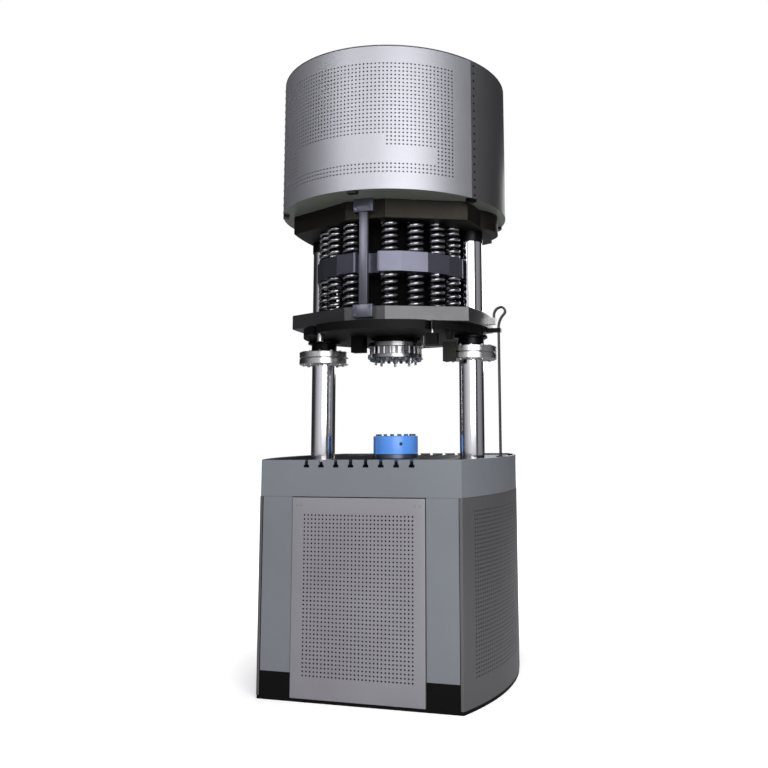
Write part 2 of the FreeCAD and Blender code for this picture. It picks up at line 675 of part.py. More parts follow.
# Exciter in the hood: ring magnet on the hood floor, a stack of discs above
# it on the shaft, with an air gap between them.
save("exciter_magnet", ring(MAGNET_R, MAGNET_BORE_R, magnet_z, magnet_z + MAGNET_T))
discs = []
for i in range(MASS_DISC_COUNT):
    z0 = mass_z + i * MASS_DISC_T
    discs.append(ring(MASS_R, SHAFT_R + SEAT, z0, z0 + MASS_DISC_T))
save("exciter_mass", *discs)

# Hood: floor ring on the upper yoke, front and rear shells, top cap.
floor = cylinder(HOOD_R - HOOD_SHEET - SEAT, UPPER_TOP, magnet_z)
floor = floor.cut(cylinder(MAGNET_BORE_R, UPPER_TOP - 1, magnet_z + 1))
floor = floor.cut(column_bores(COLUMN_R + COLUMN_CLEAR, UPPER_TOP - 1, magnet_z + 1))
save("hood_floor", floor)
cap_z = HOOD_TOP - CAP_T
save("hood_cap", cylinder(HOOD_R, cap_z, HOOD_TOP))
shell = ring(HOOD_R, HOOD_R - HOOD_SHEET, HOOD_BOTTOM, cap_z)
reach = 2 * HOOD_R


def wedge(half_angle):
    """Prism that covers the azimuths within half_angle of the front."""
    a = polar(reach, -half_angle, HOOD_BOTTOM - 1)
    b = polar(reach, half_angle, HOOD_BOTTOM - 1)
    far = V(0, -reach, 0)
    pts = [V(0, 0, HOOD_BOTTOM - 1), a, a + far, b + far, b, V(0, 0, HOOD_BOTTOM - 1)]
    return Part.Face(Part.makePolygon(pts)).extrude(V(0, 0, HOOD_TOP - HOOD_BOTTOM))


gap_angle = math.degrees(HOOD_SEAM_GAP / HOOD_R)
save("hood_front_shell", shell.common(wedge(HOOD_SEAM)))
save("hood_rear_shell", shell.cut(wedge(HOOD_SEAM + gap_angle)))
screws = []
for sx in (-1, 1):
    for i in range(HOOD_SCREW_COUNT):
        z = HOOD_BOTTOM + HOOD_STRAP / 2 + i * (cap_z - HOOD_BOTTOM - HOOD_STRAP) / (HOOD_SCREW_COUNT - 1)
        at = polar(HOOD_R, sx * (HOOD_SEAM + HOOD_SCREW_STEP), z)
        screws.append(Part.makeCylinder(HOOD_SCREW_R, 1.5, at, polar(1, sx * (HOOD_SEAM + HOOD_SCREW_STEP))))
save("hood_screws", *screws)

# Six clips under the hood's rim, and a curved cover on the right flank of the
# upper yoke where the exciter's cables come down.
clips = []
yoke_room = yoke_prism(UPPER_YOKE_Z, UPPER_YOKE_T)
for i in range(RIM_CLIP_COUNT):
    clip_z = HOOD_BOTTOM - RIM_CLIP_H
    clip_block = block(-RIM_CLIP_W / 2, RIM_CLIP_W / 2, -HOOD_R, -HOOD_R + RIM_CLIP_D, clip_z, HOOD_BOTTOM)
    clip_block.rotate(V(0, 0, 0), V(0, 0, 1), i * 360 / RIM_CLIP_COUNT)
    clips.append(clip_block.common(cylinder(HOOD_R, 0, HOOD_BOTTOM)).cut(yoke_room))
save("hood_clips", *clips)
cover_ends = [V(SHOULDER_X, COVER_Y + sy * COVER_HALF, UPPER_YOKE_Z) for sy in (-1, 1)]
cover_arc = Part.Arc(cover_ends[0], V(COVER_X, COVER_Y, UPPER_YOKE_Z), cover_ends[1]).toShape()
cover_back = Part.makeLine(cover_ends[1], cover_ends[0])
cover = Part.Face(Part.Wire([cover_arc, cover_back])).extrude(V(0, 0, UPPER_YOKE_T))
save("cable_cover", cut_to_flank(cover, UPPER_YOKE_Z, UPPER_YOKE_T))

# Hydraulic manifold at the right clamp and its pipe.
man_x1 = MANIFOLD_X + MANIFOLD_W
man = block(MANIFOLD_X, man_x1, MANIFOLD_Y, 0, CLAMP_BOTTOM - MANIFOLD_DROP, CLAMP_TOP + MANIFOLD_DROP)
man = man.cut(cylinder(CLAMP_R + SEAT, 0, HOOD_TOP, COLUMN_X))
man = man.cut(block(0, man_x1 + 1, -CLAMP_BOLT_R * 4, 1, 0, HOOD_TOP))
save("clamp_manifold", man)
pipe_z = UNDER_Z - PIPE_DROP
pipe_points = [V(PIPE_X, PIPE_Y, UNDER_Z), V(PIPE_X, PIPE_Y, pipe_z), V(MANIFOLD_X, PIPE_Y, pipe_z)]
pipe, radii = tube(pipe_points, PIPE_R)
print("clamp pipe radius", round(radii[0]))
save("clamp_pipe", pipe)

# Under the front edge of the lower yoke: a limit switch on a rod at the right,
# a stop pin at the left, both through notches of the black plate, and a knob.
switch_top = LOWER_YOKE_Z - SWITCH_DROP
save("limit_switch", block(SWITCH_X - SWITCH_W / 2, SWITCH_X + SWITCH_W / 2, SWITCH_Y - SWITCH_D / 2,
                           SWITCH_Y + SWITCH_D / 2, switch_top - SWITCH_H, switch_top))
save("hanging_rods", cylinder(SWITCH_ROD_R, switch_top, LOWER_YOKE_Z, SWITCH_X, SWITCH_Y),
     cylinder(PIN_R, LOWER_YOKE_Z - PIN_DROP, LOWER_YOKE_Z, PIN_X, SWITCH_Y))
knob_x = UNDER_PLATE_R - KNOB_IN
save("stop_knob", block(knob_x - KNOB_W / 2, knob_x + KNOB_W / 2, KNOB_Y - KNOB_W / 2, KNOB_Y + KNOB_W / 2,
                        UNDER_Z - KNOB_H, UNDER_Z))

# Displacement sensor in a housing under the lower yoke, beside the grip.
save("sensor_housing", block(SENSOR_X, SENSOR_X + SENSOR_W, SENSOR_Y, SENSOR_Y + SENSOR_D,
                             UNDER_Z - SENSOR_H, UNDER_Z))

# Hoses beside the right column: straight up from the cabinet through a clip,
# then over in a tight bend into two fittings on the flank of the lower yoke.
clip_x = max(UNDER_PLATE_R + CLIP_GAP, COLUMN_X + BUSH_R)
clip = block(clip_x, HOSE_X + HOSE_CLIP_MARGIN, HOSE_Y - CLIP_HALF, HOSE_Y + CLIP_HALF,
             LOWER_YOKE_Z - CLIP_T, LOWER_YOKE_Z)
for label, y in zip("ab", hose_y):
    clip = clip.cut(cylinder(HOSE_R + SEAT, 0, HOOD_TOP, HOSE_X, y))
    points = [V(HOSE_X, y, HOSE_FOOT)] + [V(HOSE_X + dx, y, z) for dx, z in HOSE_LOOP]
    points.append(V(FITTING_X, y, FITTING_TOP))
    hose, radii = tube(points, HOSE_R)
    print("hose", label, "radii", [round(r) for r in radii])
    save("hose_" + label, hose)
save("hose_clip", clip)
fitting = block(SHOULDER_X, FITTING_X + HOSE_R + FITTING_WALL, HOSE_Y - CLIP_HALF, HOSE_Y + CLIP_HALF,
                LOWER_YOKE_Z + CLIP_T, FITTING_TOP)
save("hose_fittings", cut_to_flank(fitting, LOWER_YOKE_Z, LOWER_YOKE_T))
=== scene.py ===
import math

import bpy
import numpy as np
from mathutils import Matrix


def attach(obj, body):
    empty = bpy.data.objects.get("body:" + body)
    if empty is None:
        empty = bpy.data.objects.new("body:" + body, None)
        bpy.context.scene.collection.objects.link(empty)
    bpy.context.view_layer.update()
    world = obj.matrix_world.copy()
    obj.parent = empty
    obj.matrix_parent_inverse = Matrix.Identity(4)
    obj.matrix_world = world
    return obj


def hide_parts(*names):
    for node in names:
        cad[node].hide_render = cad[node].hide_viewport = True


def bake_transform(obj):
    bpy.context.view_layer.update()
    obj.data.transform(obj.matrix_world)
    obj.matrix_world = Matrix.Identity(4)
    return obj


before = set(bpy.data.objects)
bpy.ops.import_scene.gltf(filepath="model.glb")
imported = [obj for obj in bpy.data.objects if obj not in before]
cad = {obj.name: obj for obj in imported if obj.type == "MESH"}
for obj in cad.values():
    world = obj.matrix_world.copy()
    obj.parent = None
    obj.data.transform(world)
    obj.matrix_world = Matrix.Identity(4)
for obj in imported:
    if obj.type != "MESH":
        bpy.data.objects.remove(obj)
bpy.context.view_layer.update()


# Camera: a standing photographer in front of the machine and to its right,
# who holds the camera a little upwards. The place was fitted to the picture;
# the shifts stand for the edges that were cropped off it.
def stand(name, data, at, side, up, back):
    """Puts an object into the scene at a point, with its three axes given."""
    made = bpy.data.objects.new(name, data)
    bpy.context.scene.collection.objects.link(made)
    pose = np.eye(4)
    pose[:3, :3] = np.c_[side, up, back]
    pose[:3, 3] = at
    made.matrix_world = Matrix(pose.tolist())
    return made


EYE = (1.566, -4.1606, 1.2996)
YAW, PITCH, ROLL = 0.2615, 0.1252, -0.0115
FILM_WIDTH, FOCAL_LENGTH, SHIFT = 36.0, 36.66, (-0.1152, -0.0677)
ahead = np.array([-math.sin(YAW) * math.cos(PITCH), math.cos(YAW) * math.cos(PITCH),
                  math.sin(PITCH)])
level = np.array([math.cos(YAW), math.sin(YAW), 0.0])
above = np.cross(level, ahead)
right = math.cos(ROLL) * level + math.sin(ROLL) * above
above = math.cos(ROLL) * above - math.sin(ROLL) * level
lens_data = bpy.data.cameras.new("camera")
lens_data.sensor_width, lens_data.lens = FILM_WIDTH, FOCAL_LENGTH
lens_data.shift_x, lens_data.shift_y = SHIFT
bpy.context.scene.camera = stand("camera", lens_data, EYE, right, above, -ahead)
bpy.context.scene.view_settings.view_transform = "Standard"


# The studio: white to the eye. Mirror rays meet tall screens, bright in front
# and dark at the sides, which draw the stripes on polished steel; dull rays
# meet the room's walls and its ceiling.
def linear(code):
    """An sRGB hex colour as the linear values that the shaders take: a straight line near
    black, a power of 2.4 above it."""
    parts = np.array([int(code[i:i + 2], 16) / 255 for i in (1, 3, 5)])
    parts = np.where(parts <= 0.04045, parts / 12.92, ((parts + 0.055) / 1.055) ** 2.4)
    return (*parts.tolist(), 1.0)


def add(tree, kind, put=None, stops=(), **settings):
    """Adds a node. Settings are its properties; put gives its inputs, each a value or a
    socket to link; stops are the (place, hex colour) stops of a colour ramp."""
    made = tree.nodes.new("ShaderNode" + kind)
    for key, value in settings.items():
        setattr(made, key, value)
    for key, value in (put or {}).items():
        if isinstance(value, bpy.types.NodeSocket):
            tree.links.new(value, made.inputs[key])
        else:
            made.inputs[key].default_value = value
    if stops:
        elements = made.color_ramp.elements
        while len(elements) < len(stops):
            elements.new(0.5)
        for element, (place, code) in zip(elements, stops):
            element.position = place
            element.color = linear(code)
    return made


# Places run by azimuth: 0 and 1 are behind the machine, 0.25 is its left side,
# 0.5 its front and 0.75 its right side. Heights run from level to straight up.
SCREENS = [(0.0, "#2c2c2e"), (0.10, "#2a2a2c"), (0.29, "#303032"), (0.33, "#6c6c70"),
           (0.37, "#acacb0"), (0.425, "#cececf"), (0.47, "#f0f0f4"), (0.62, "#f4f4f8"),
           (0.638, "#dcdce4"), (0.655, "#3c3c40"), (0.685, "#404044"), (0.71, "#9c9ca0"),
           (0.81, "#8c8c90"), (0.87, "#2e2e30"), (1.0, "#2c2c2e")]
SCREEN_TOP = [(0.0, "#ffffff"), (0.52, "#ffffff"), (0.68, "#303032"), (1.0, "#303032")]
WALLS = [(0.0, "#646466"), (0.29, "#58585a"), (0.42, "#b0b0b4"), (0.47, "#e6e6ea"),
         (0.62, "#ececf0"), (0.70, "#8c8c90"), (0.84, "#6c6c70"), (1.0, "#646466")]
CEILING = [(0.0, "#000000"), (0.25, "#000000"), (0.8, "#9c9ca0")]
ROOM_LIGHT = 0.62

world = bpy.data.worlds.new("studio")
bpy.context.scene.world = world
world.use_nodes = True
sky = world.node_tree
sky.nodes.clear()
towards = add(sky, "SeparateXYZ", {0: add(sky, "TexCoord").outputs["Generated"]})
front = add(sky, "Math", {0: towards.outputs["Y"], 1: -1.0}, operation="MULTIPLY")
around = add(sky, "Math", {0: towards.outputs["X"], 1: front.outputs[0]}, operation="ARCTAN2")
azimuth = add(sky, "MapRange", {"Value": around.outputs[0], "From Min": -math.pi,
                                "From Max": math.pi}).outputs[0]
screens, walls = [add(sky, "ValToRGB", {"Fac": azimuth}, stops).outputs["Color"]
                  for stops in (SCREENS, WALLS)]
screen_top, ceiling = [add(sky, "ValToRGB", {"Fac": towards.outputs["Z"]}, stops).outputs["Color"]
                       for stops in (SCREEN_TOP, CEILING)]
lit = add(sky, "Mix", {0: 1.0, 6: walls, 7: ceiling}, data_type="RGBA", blend_type="ADD")
hung = add(sky, "Mix", {0: 1.0, 6: screens, 7: screen_top}, data_type="RGBA",
           blend_type="MULTIPLY")
room = add(sky, "Background", {"Color": lit.outputs[2], "Strength": ROOM_LIGHT})
mirrored = add(sky, "Background", {"Color": hung.outputs[2], "Strength": 1.0})
white = add(sky, "Background", {"Color": (1, 1, 1, 1), "Strength": 1.0})
path = add(sky, "LightPath")
bounced = add(sky, "MixShader", {0: path.outputs["Is Glossy Ray"], 1: room.outputs[0],
                                 2: mirrored.outputs[0]})
seen = add(sky, "MixShader", {0: path.outputs["Is Camera Ray"], 1: bounced.outputs[0],
                              2: white.outputs[0]})
add(sky, "OutputWorld", {"Surface": seen.outputs[0]})


# Lamps: a large soft one high at the right of the camera, a narrow one that
# lifts the left of the hood, and a weak one behind for the rear edges.
def lamp(name, at, aim, size, watts, spread=180.0):
    """A soft rectangular lamp that looks at a point; the spread is its cone in degrees."""
    data = bpy.data.lights.new(name, "AREA")
    data.shape = "RECTANGLE"
    data.size, data.size_y = size
    data.energy = watts
    data.spread = math.radians(spread)
    back = np.array(at) - np.array(aim)
    back /= np.linalg.norm(back)
    side = np.cross((0, 0, 1), back)
    side /= np.linalg.norm(side)
    stand(name, data, at, side, np.cross(back, side), back)


MACHINE_MID, HOOD_MID = (0, 0, 1.7), (0, 0, 2.95)
lamp("key", (2.8, -4.8, 3.4), MACHINE_MID, (4.8, 4.2), 300)
lamp("hood_fill", (-2.2, -4.9, 4.5), HOOD_MID, (2.2, 1.8), 4.6, spread=34.0)
lamp("rim", (0.4, 5.2, 3.2), MACHINE_MID, (3.0, 2.4), 70)


# The floor: one pale sheet with the machine's soft shadow. To the eye it also
# glows, more so farther out, so that it runs over into plain white.
def mesh_piece(name, points, *face_sets):
    """A mesh object from points and arrays of faces, each array with its own count of
    corners."""
    data = bpy.data.meshes.new(name)
    loops = np.concatenate([f.ravel() for f in face_sets]).astype(np.int32)
    totals = np.concatenate([np.full(len(f), f.shape[1]) for f in face_sets]).astype(np.int32)
    starts = np.concatenate([[0], np.cumsum(totals)[:-1]]).astype(np.int32)
    data.vertices.add(len(points))
    data.vertices.foreach_set("co", np.asarray(points, np.float32).ravel())
    data.loops.add(len(loops))
    data.loops.foreach_set("vertex_index", loops)
    data.polygons.add(len(totals))
    data.polygons.foreach_set("loop_start", starts)
    data.update(calc_edges=True)
    data.validate()
    made = bpy.data.objects.new(name, data)
    bpy.context.scene.collection.objects.link(made)
    return made


GLOW_FROM, WHITE_FROM, LOW_GLOW, FLOOR = 0.75, 1.7, 0.42, 30.0
ground = bpy.data.materials.new("pale_floor")
ground.use_nodes = True
tree = ground.node_tree
tree.nodes.clear()
paper = add(tree, "BsdfDiffuse", {"Color": linear("#f4f4f4")})
reach = add(tree, "VectorMath", {0: add(tree, "TexCoord").outputs["Object"]}, operation="LENGTH")
lift = add(tree, "MapRange", {"Value": reach.outputs["Value"], "From Min": GLOW_FROM,
                              "From Max": WHITE_FROM, "To Min": LOW_GLOW, "To Max": 1.0})
glow = add(tree, "Emission", {"Color": (1, 1, 1, 1), "Strength": lift.outputs[0]})
to_eye = add(tree, "AddShader", {0: paper.outputs[0], 1: glow.outputs[0]})
plain = add(tree, "BsdfDiffuse", {"Color": linear("#d8d8d8")})
eye = add(tree, "LightPath").outputs["Is Camera Ray"]
floor_mix = add(tree, "MixShader", {0: eye, 1: plain.outputs[0], 2: to_eye.outputs[0]})
add(tree, "OutputMaterial", {"Surface": floor_mix.outputs[0]})
corners = [(-FLOOR, -FLOOR, 0), (FLOOR, -FLOOR, 0), (FLOOR, FLOOR, 0), (-FLOOR, FLOOR, 0)]
floor = mesh_piece("floor", corners, np.array([[0, 1, 2, 3]]))
floor.data.materials.append(ground)


# Cabinet plates: powder-coated steel sheet. A satin coat has a fine orange
# peel, a faint cloudiness, and a little metal flake in the silver shades. Its
# real peel is 1 to 2 mm wide and shows from close by only.
def powder_coat(name, code, dark, flake=0.35, rough=0.42, peel_mm=1.6, depth=0.05, specular=0.5):
    """Satin powder coat: two close tones by a slow noise, orange peel as bump, and a
    roughness that varies a little. A noise of scale 900 has grains of about 1 mm."""
    finish = bpy.data.materials.new(name)
    finish.use_nodes = True
    tree = finish.node_tree
    shader = tree.nodes["Principled BSDF"]
    where = add(tree, "TexCoord").outputs["Object"]
    cloud = add(tree, "TexNoise", {"Vector": where, "Scale": 1.7, "Detail": 3.0}).outputs["Fac"]
    peel = add(tree, "TexNoise", {"Vector": where, "Scale": 900.0 / peel_mm,
                                  "Detail": 2.0}).outputs["Fac"]
    tone = add(tree, "Mix", {0: cloud, 6: linear(dark), 7: linear(code)}, data_type="RGBA")
    fleck = add(tree, "ValToRGB", {"Fac": peel}, [(0.3, "#d4d4d4"), (0.7, "#ffffff")])
    flecked = add(tree, "Mix", {0: 0.35, 6: tone.outputs[2], 7: fleck.outputs["Color"]},
                  data_type="RGBA", blend_type="MULTIPLY")
    tree.links.new(flecked.outputs[2], shader.inputs["Base Color"])
    gloss = add(tree, "MapRange", {"Value": cloud, "To Min": rough - 0.04, "To Max": rough + 0.05})
    tree.links.new(gloss.outputs[0], shader.inputs["Roughness"])
    shader.inputs["Metallic"].default_value = flake
    shader.inputs["Specular IOR Level"].default_value = specular
    bump = add(tree, "Bump", {"Height": peel, "Strength": depth, "Distance": 0.0004})
    tree.links.new(bump.outputs["Normal"], shader.inputs["Normal"])
    return finish


def dress(names, finish):
    """Gives CAD nodes a finish."""
    for name in names:
        cad[name].data.materials.clear()
        cad[name].data.materials.append(finish)


# Blue-grey coat: a quiet colour with a broad, soft sheen. Black coat: takes
# the light away, only its edges catch a little.
cabinet_blue_grey = powder_coat("powder_coat_blue_grey", "#8a8f95", "#7d8187")
black_coat = powder_coat("powder_coat_black", "#090909", "#050505", flake=0.0, rough=0.55,
                         specular=0.12)
dress(["top_band", "corner_strips"], cabinet_blue_grey)
dress(["floor_plate", "plinth_blocks", "machine_bed", "pedestals", "cabinet_frame"], black_coat)


# Doors: one perforated sheet each, 2 mm thick, folded back at all four sides
# with open corners, painted in silver powder coat, and backed by a black sheet
# behind the holes, painted shade for the cabinet's dark inside.
def fillet(points, radius, steps=5):
    """A polyline whose inner corners are replaced by arcs that touch both runs."""
    points = [np.array(p, float) for p in points]
    out = [points[0]]
    for before, corner, after in zip(points, points[1:], points[2:]):
        a = (before - corner) / np.linalg.norm(before - corner)
        b = (after - corner) / np.linalg.norm(after - corner)
        half_turn = 0.5 * math.acos(max(-1.0, min(1.0, float(a @ b))))
        reach = radius / math.tan(half_turn)
        hub = corner + (a + b) / np.linalg.norm(a + b) * radius / math.sin(half_turn)
        start, end = corner + a * reach, corner + b * reach
        for t in np.linspace(0, 1, steps):
            chord = start * (1 - t) + end * t - hub
            out.append(hub + chord / np.linalg.norm(chord) * radius)
    return np.array(out + [points[-1]])


def lengths_of(path):
    """How far along a polyline each of its points lies."""
    return np.concatenate([[0], np.cumsum(np.linalg.norm(np.diff(path, axis=0), axis=1))])


def along(path, at):
    """Points and left-hand normals of a polyline at given lengths from its start."""
    lengths = lengths_of(path)
    run = np.diff(path, axis=0) / np.diff(lengths)[:, None]
    left = np.c_[-run[:, 1], run[:, 0]]
    bent = np.r_[left[:1], left[:-1] + left[1:], left[-1:]]
    bent /= np.linalg.norm(bent, axis=1)[:, None]
    spot = np.c_[np.interp(at, lengths, path[:, 0]), np.interp(at, lengths, path[:, 1])]
    normal = np.c_[np.interp(at, lengths, bent[:, 0]), np.interp(at, lengths, bent[:, 1])]
    return spot, normal / np.linalg.norm(normal, axis=1)[:, None]


def grid_lines(lengths, start, count, pitch, offsets):
    """Lengths of a sheet's grid lines: the path's own points outside the field of holes,
    the lines of its cells inside. Also says which line is the field's first."""
    if not count:
        return lengths, -1
    end, close = start + count * pitch, 1e-4
    middles = start + np.arange(count)[:, None] * pitch + pitch / 2
    inside = np.append((middles + offsets[None, :-1]).ravel(), end)
    before, after = lengths[lengths < start - close], lengths[lengths > end + close]
    return np.concatenate([before, inside, after]), len(before)


NO_FIELD = ((0.0, 0), (0.0, 0))


def perforated(name, plan, upright, wall, field=NO_FIELD, hole_r=0.0, pitch=0.0, ring=8, bare=(),
               cut=None):
    """A folded sheet with round holes: the plan path carried along the upright profile of
    (inset, height). The field gives where the holes start and how many there are, both
    ways. Each of its square cells is a ring of quads between the cell's edge and its hole.
    Bare names blocks of cells without holes, and cut leaves squares out."""
    parts = ring // 4
    offsets = np.tan(np.linspace(-math.pi / 4, math.pi / 4, parts + 1)) * pitch / 2
    plan_len, up_len = lengths_of(plan), lengths_of(upright)
    (u0, columns), (v0, rows) = field
    us, first_u = grid_lines(plan_len, u0, columns, pitch, offsets)
    vs, first_v = grid_lines(up_len, v0, rows, pitch, offsets)

    def points(u, v, depth):
        """Places on the sheet by both lengths, at a depth under its outer face."""
        spot, normal = along(plan, u)
        level, facing = along(upright, v)
        inset = level[:, 0] - depth * facing[:, 0]
        return np.c_[spot + normal * inset[:, None], level[:, 1] - depth * facing[:, 1]]

    nu, nv = len(us), len(vs)
    gu, gv = np.repeat(us, nv), np.tile(vs, nu)
    layers = [points(gu, gv, 0.0), points(gu, gv, wall)]
    back = nu * nv
    at = np.arange(nu * nv).reshape(nu, nv)
    solid = np.ones((nu - 1, nv - 1), bool)
    if cut:
        mid_u, mid_v = (us[1:] + us[:-1]) / 2, (vs[1:] + vs[:-1]) / 2
        solid &= ~cut(mid_u[:, None] / plan_len[-1], mid_v[None, :] / up_len[-1],
                      plan_len[-1], up_len[-1])
    plain = solid.copy()
    i, j = np.meshgrid(np.arange(columns), np.arange(rows), indexing="ij")
    holed = np.ones(i.shape, bool)
    for (c0, c1), (r0, r1) in bare:
        holed &= ~((i >= c0) & (i < c1) & (j >= r0) & (j < r1))
    i, j = i[holed], j[holed]
    for a in range(parts):
        for b in range(parts):
            plain[first_u + i * parts + a, first_v + j * parts + b] = False
    a, b = np.nonzero(plain)
    quads = np.c_[at[a, b], at[a + 1, b], at[a + 1, b + 1], at[a, b + 1]]
    faces = [quads, quads[:, ::-1] + back]
    if len(i):
        k, full, none = np.arange(parts), np.full(parts, parts), np.zeros(parts, int)
        corner = np.concatenate([np.c_[full, k], np.c_[parts - k, full],
                                 np.c_[none, parts - k], np.c_[k, none]])
        outer = at[first_u + i[:, None] * parts + corner[:, 0],
                   first_v + j[:, None] * parts + corner[:, 1]]
        angle = np.arctan2(offsets[corner[:, 1]], offsets[corner[:, 0]])
        hu = u0 + (i[:, None] + 0.5) * pitch + hole_r * np.cos(angle)
        hv = v0 + (j[:, None] + 0.5) * pitch + hole_r * np.sin(angle)
        layers += [points(hu.ravel(), hv.ravel(), 0.0), points(hu.ravel(), hv.ravel(), wall)]
        under = hu.size
        inner = 2 * back + np.arange(under).reshape(hu.shape)
        o2, n2 = np.roll(outer, -1, 1), np.roll(inner, -1, 1)
        for ring_face in ((outer, o2, n2, inner),
                          (outer + back, inner + under, n2 + under, o2 + back),
                          (inner, n2, n2 + under, inner + under)):
            faces.append(np.stack(ring_face, -1).reshape(-1, 4))
    framed = np.pad(solid, 1)
    for du, dv, p, q in ((0, -1, (0, 0), (1, 0)), (1, 0, (1, 0), (1, 1)),
                         (0, 1, (1, 1), (0, 1)), (-1, 0, (0, 1), (0, 0))):
        a, b = np.nonzero(solid & ~framed[1 + du:nu + du, 1 + dv:nv + dv])
        s, e = at[a + p[0], b + p[1]], at[a + q[0], b + q[1]]
        faces.append(np.c_[s, s + back, e + back, e])
    every = np.concatenate(faces)
    used, renamed = np.unique(every, return_inverse=True)
    return mesh_piece(name, np.concatenate(layers)[used], renamed.reshape(every.shape))


def smooth(piece, angle=30.0):
    """Smooth shading with creases where faces meet at more than the angle."""
    piece.data.polygons.foreach_set("use_smooth", np.ones(len(piece.data.polygons), bool))
    piece.data.set_sharp_from_angle(angle=math.radians(angle))
    return piece


def fit(piece, finish, body, slot, *stands_for):
    """Finish, body and the CAD nodes that the piece stands for; the record slot is not used."""
    piece.data.materials.append(finish)
    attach(piece, body)
    if stands_for:
        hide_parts(*stands_for)


# Silver coat: flake lightens it where it faces the light. Black lining: a
# dull black sheet close behind the holes, painted shade for the dark inside, so
# that each hole reads as a dark dot.
silver_coat = powder_coat("powder_coat_silver", "#a8a7ad", "#8e8a91", flake=0.45)
# Painted shade: a dull black sheet that stands for the dark inside behind holes and springs.
shade_black = powder_coat("painted_shade_black", "#060606", "#040404", flake=0.0, rough=0.9,
                     peel_mm=2.5, specular=0.1)
DOOR_HALF, DOOR_LOW, DOOR_HIGH, DOOR_FACE = 0.349, 0.018, 0.977, 0.5345
DOOR_RETURN, SHEET, BEND = 0.0112, 0.002, 0.0028
HOLE_PITCH, HOLE_R, DOOR_COLUMNS, DOOR_ROWS = 0.0196, 0.0046, 30, 40
FIELD_MID, FIELD_LOW = 0.3613, 0.109
SHADE_LINING, SHADE_LINING_GAP, LINING_HALF, LINING_EDGE = 0.004, 0.0004, 0.343, 0.006
door_plan = fillet([(-DOOR_HALF, -DOOR_FACE + DOOR_RETURN), (-DOOR_HALF, -DOOR_FACE),
                    (DOOR_HALF, -DOOR_FACE), (DOOR_HALF, -DOOR_FACE + DOOR_RETURN)], BEND)
door_rise = fillet([(DOOR_RETURN, DOOR_LOW), (0, DOOR_LOW), (0, DOOR_HIGH),
                    (DOOR_RETURN, DOOR_HIGH)], BEND)
door_field = (FIELD_MID - DOOR_COLUMNS / 2 * HOLE_PITCH, DOOR_COLUMNS), (FIELD_LOW, DOOR_ROWS)
lining_y = -DOOR_FACE + SHEET + SHADE_LINING_GAP
lining_plan = np.array([(-LINING_HALF, lining_y), (LINING_HALF, lining_y)])
lining_rise = np.array([(0, DOOR_LOW + LINING_EDGE), (0, DOOR_HIGH - LINING_EDGE)])


def open_corners(u, v, wide, high):
    """The squares where a side fold would meet a top or bottom fold."""
    fold = DOOR_RETURN - 0.0002
    fold_u, fold_v = fold / wide, fold / high
    return ((u < fold_u) | (u > 1 - fold_u)) & ((v < fold_v) | (v > 1 - fold_v))


for name, turn_sign in (("front_door", 1), ("rear_door", -1)):
    door = perforated(name + "_sheet", door_plan * turn_sign, door_rise, SHEET, door_field,
                      HOLE_R, HOLE_PITCH, ring=12, cut=open_corners)
    fit(smooth(door), silver_coat, "base", "panel_paint", name)
    # The black sheet behind the holes is painted shade for the cabinet's dark inside.
    lining = perforated(name + "_shade_lining", lining_plan * turn_sign, lining_rise, SHADE_LINING)
    fit(lining, shade_black, "base", "bush_black")

# Side panels: one bowed sheet each, perforated over most of its face, with a
# narrow edge folded round the front and the rear corner of the cabinet. Their
# silver coat is a darker copy of the door silver, painted shade because the
# sides face away from the light, and it is more metallic.
SIDE_CORNER, SIDE_BULGE, SIDE_FOLD, SIDE_TOP = (0.5335, 0.5285), 0.6595, 0.014, 0.980
SIDE_SHEET, SIDE_COLUMNS, SIDE_ROWS, SIDE_FIELD_LOW = 0.003, 47, 40, 0.121
LINING_SHARE = 0.96  # of the bow's angle
bow_rise = SIDE_BULGE - SIDE_CORNER[0]
bow_r = (SIDE_CORNER[1] ** 2 + bow_rise ** 2) / 2 / bow_rise
bow_half = math.asin(SIDE_CORNER[1] / bow_r)
sweep = np.linspace(-bow_half, bow_half, 49)


def bowed(radius, angles):
    """Plan of an arc about the centre of the side's bow."""
    return np.c_[SIDE_BULGE - bow_r + radius * np.cos(angles), radius * np.sin(angles)]


bow = bowed(bow_r, sweep)
fold_front, fold_rear = bow[0] - (SIDE_FOLD, 0), bow[-1] - (SIDE_FOLD, 0)
side_plan = np.concatenate([fillet([fold_front, bow[0], bow[1]], BEND)[:-1], bow[1:-1],
                            fillet([bow[-2], bow[-1], fold_rear], BEND)[1:]])
side_rise = np.array([(0, DOOR_LOW), (0, SIDE_TOP)])
side_start = (lengths_of(side_plan)[-1] - SIDE_COLUMNS * HOLE_PITCH) / 2
side_field = (side_start, SIDE_COLUMNS), (SIDE_FIELD_LOW, SIDE_ROWS)
# The side's black lining: painted shade just inside the bowed sheet, for the cabinet's dark
# inside.
side_lining = bowed(bow_r - SIDE_SHEET - SHADE_LINING_GAP, LINING_SHARE * sweep)
# The same silver as the doors, made darker: painted shade on the sides, which face away from the
# light.
silver_coat_painted_shade = powder_coat("powder_coat_silver_painted_shade", "#727274", "#646466", flake=0.6)
for name, turn_sign in (("side_panel_right", 1), ("side_panel_left", -1)):
    panel = perforated(name + "_sheet", side_plan * turn_sign, side_rise, SIDE_SHEET, side_field,
                       HOLE_R, HOLE_PITCH)
    fit(smooth(panel), silver_coat_painted_shade, "base", "panel_paint", name)
    lining = perforated(name + "_shade_lining", side_lining * turn_sign, lining_rise, SHADE_LINING)
    fit(smooth(lining), shade_black, "base", "bush_black")


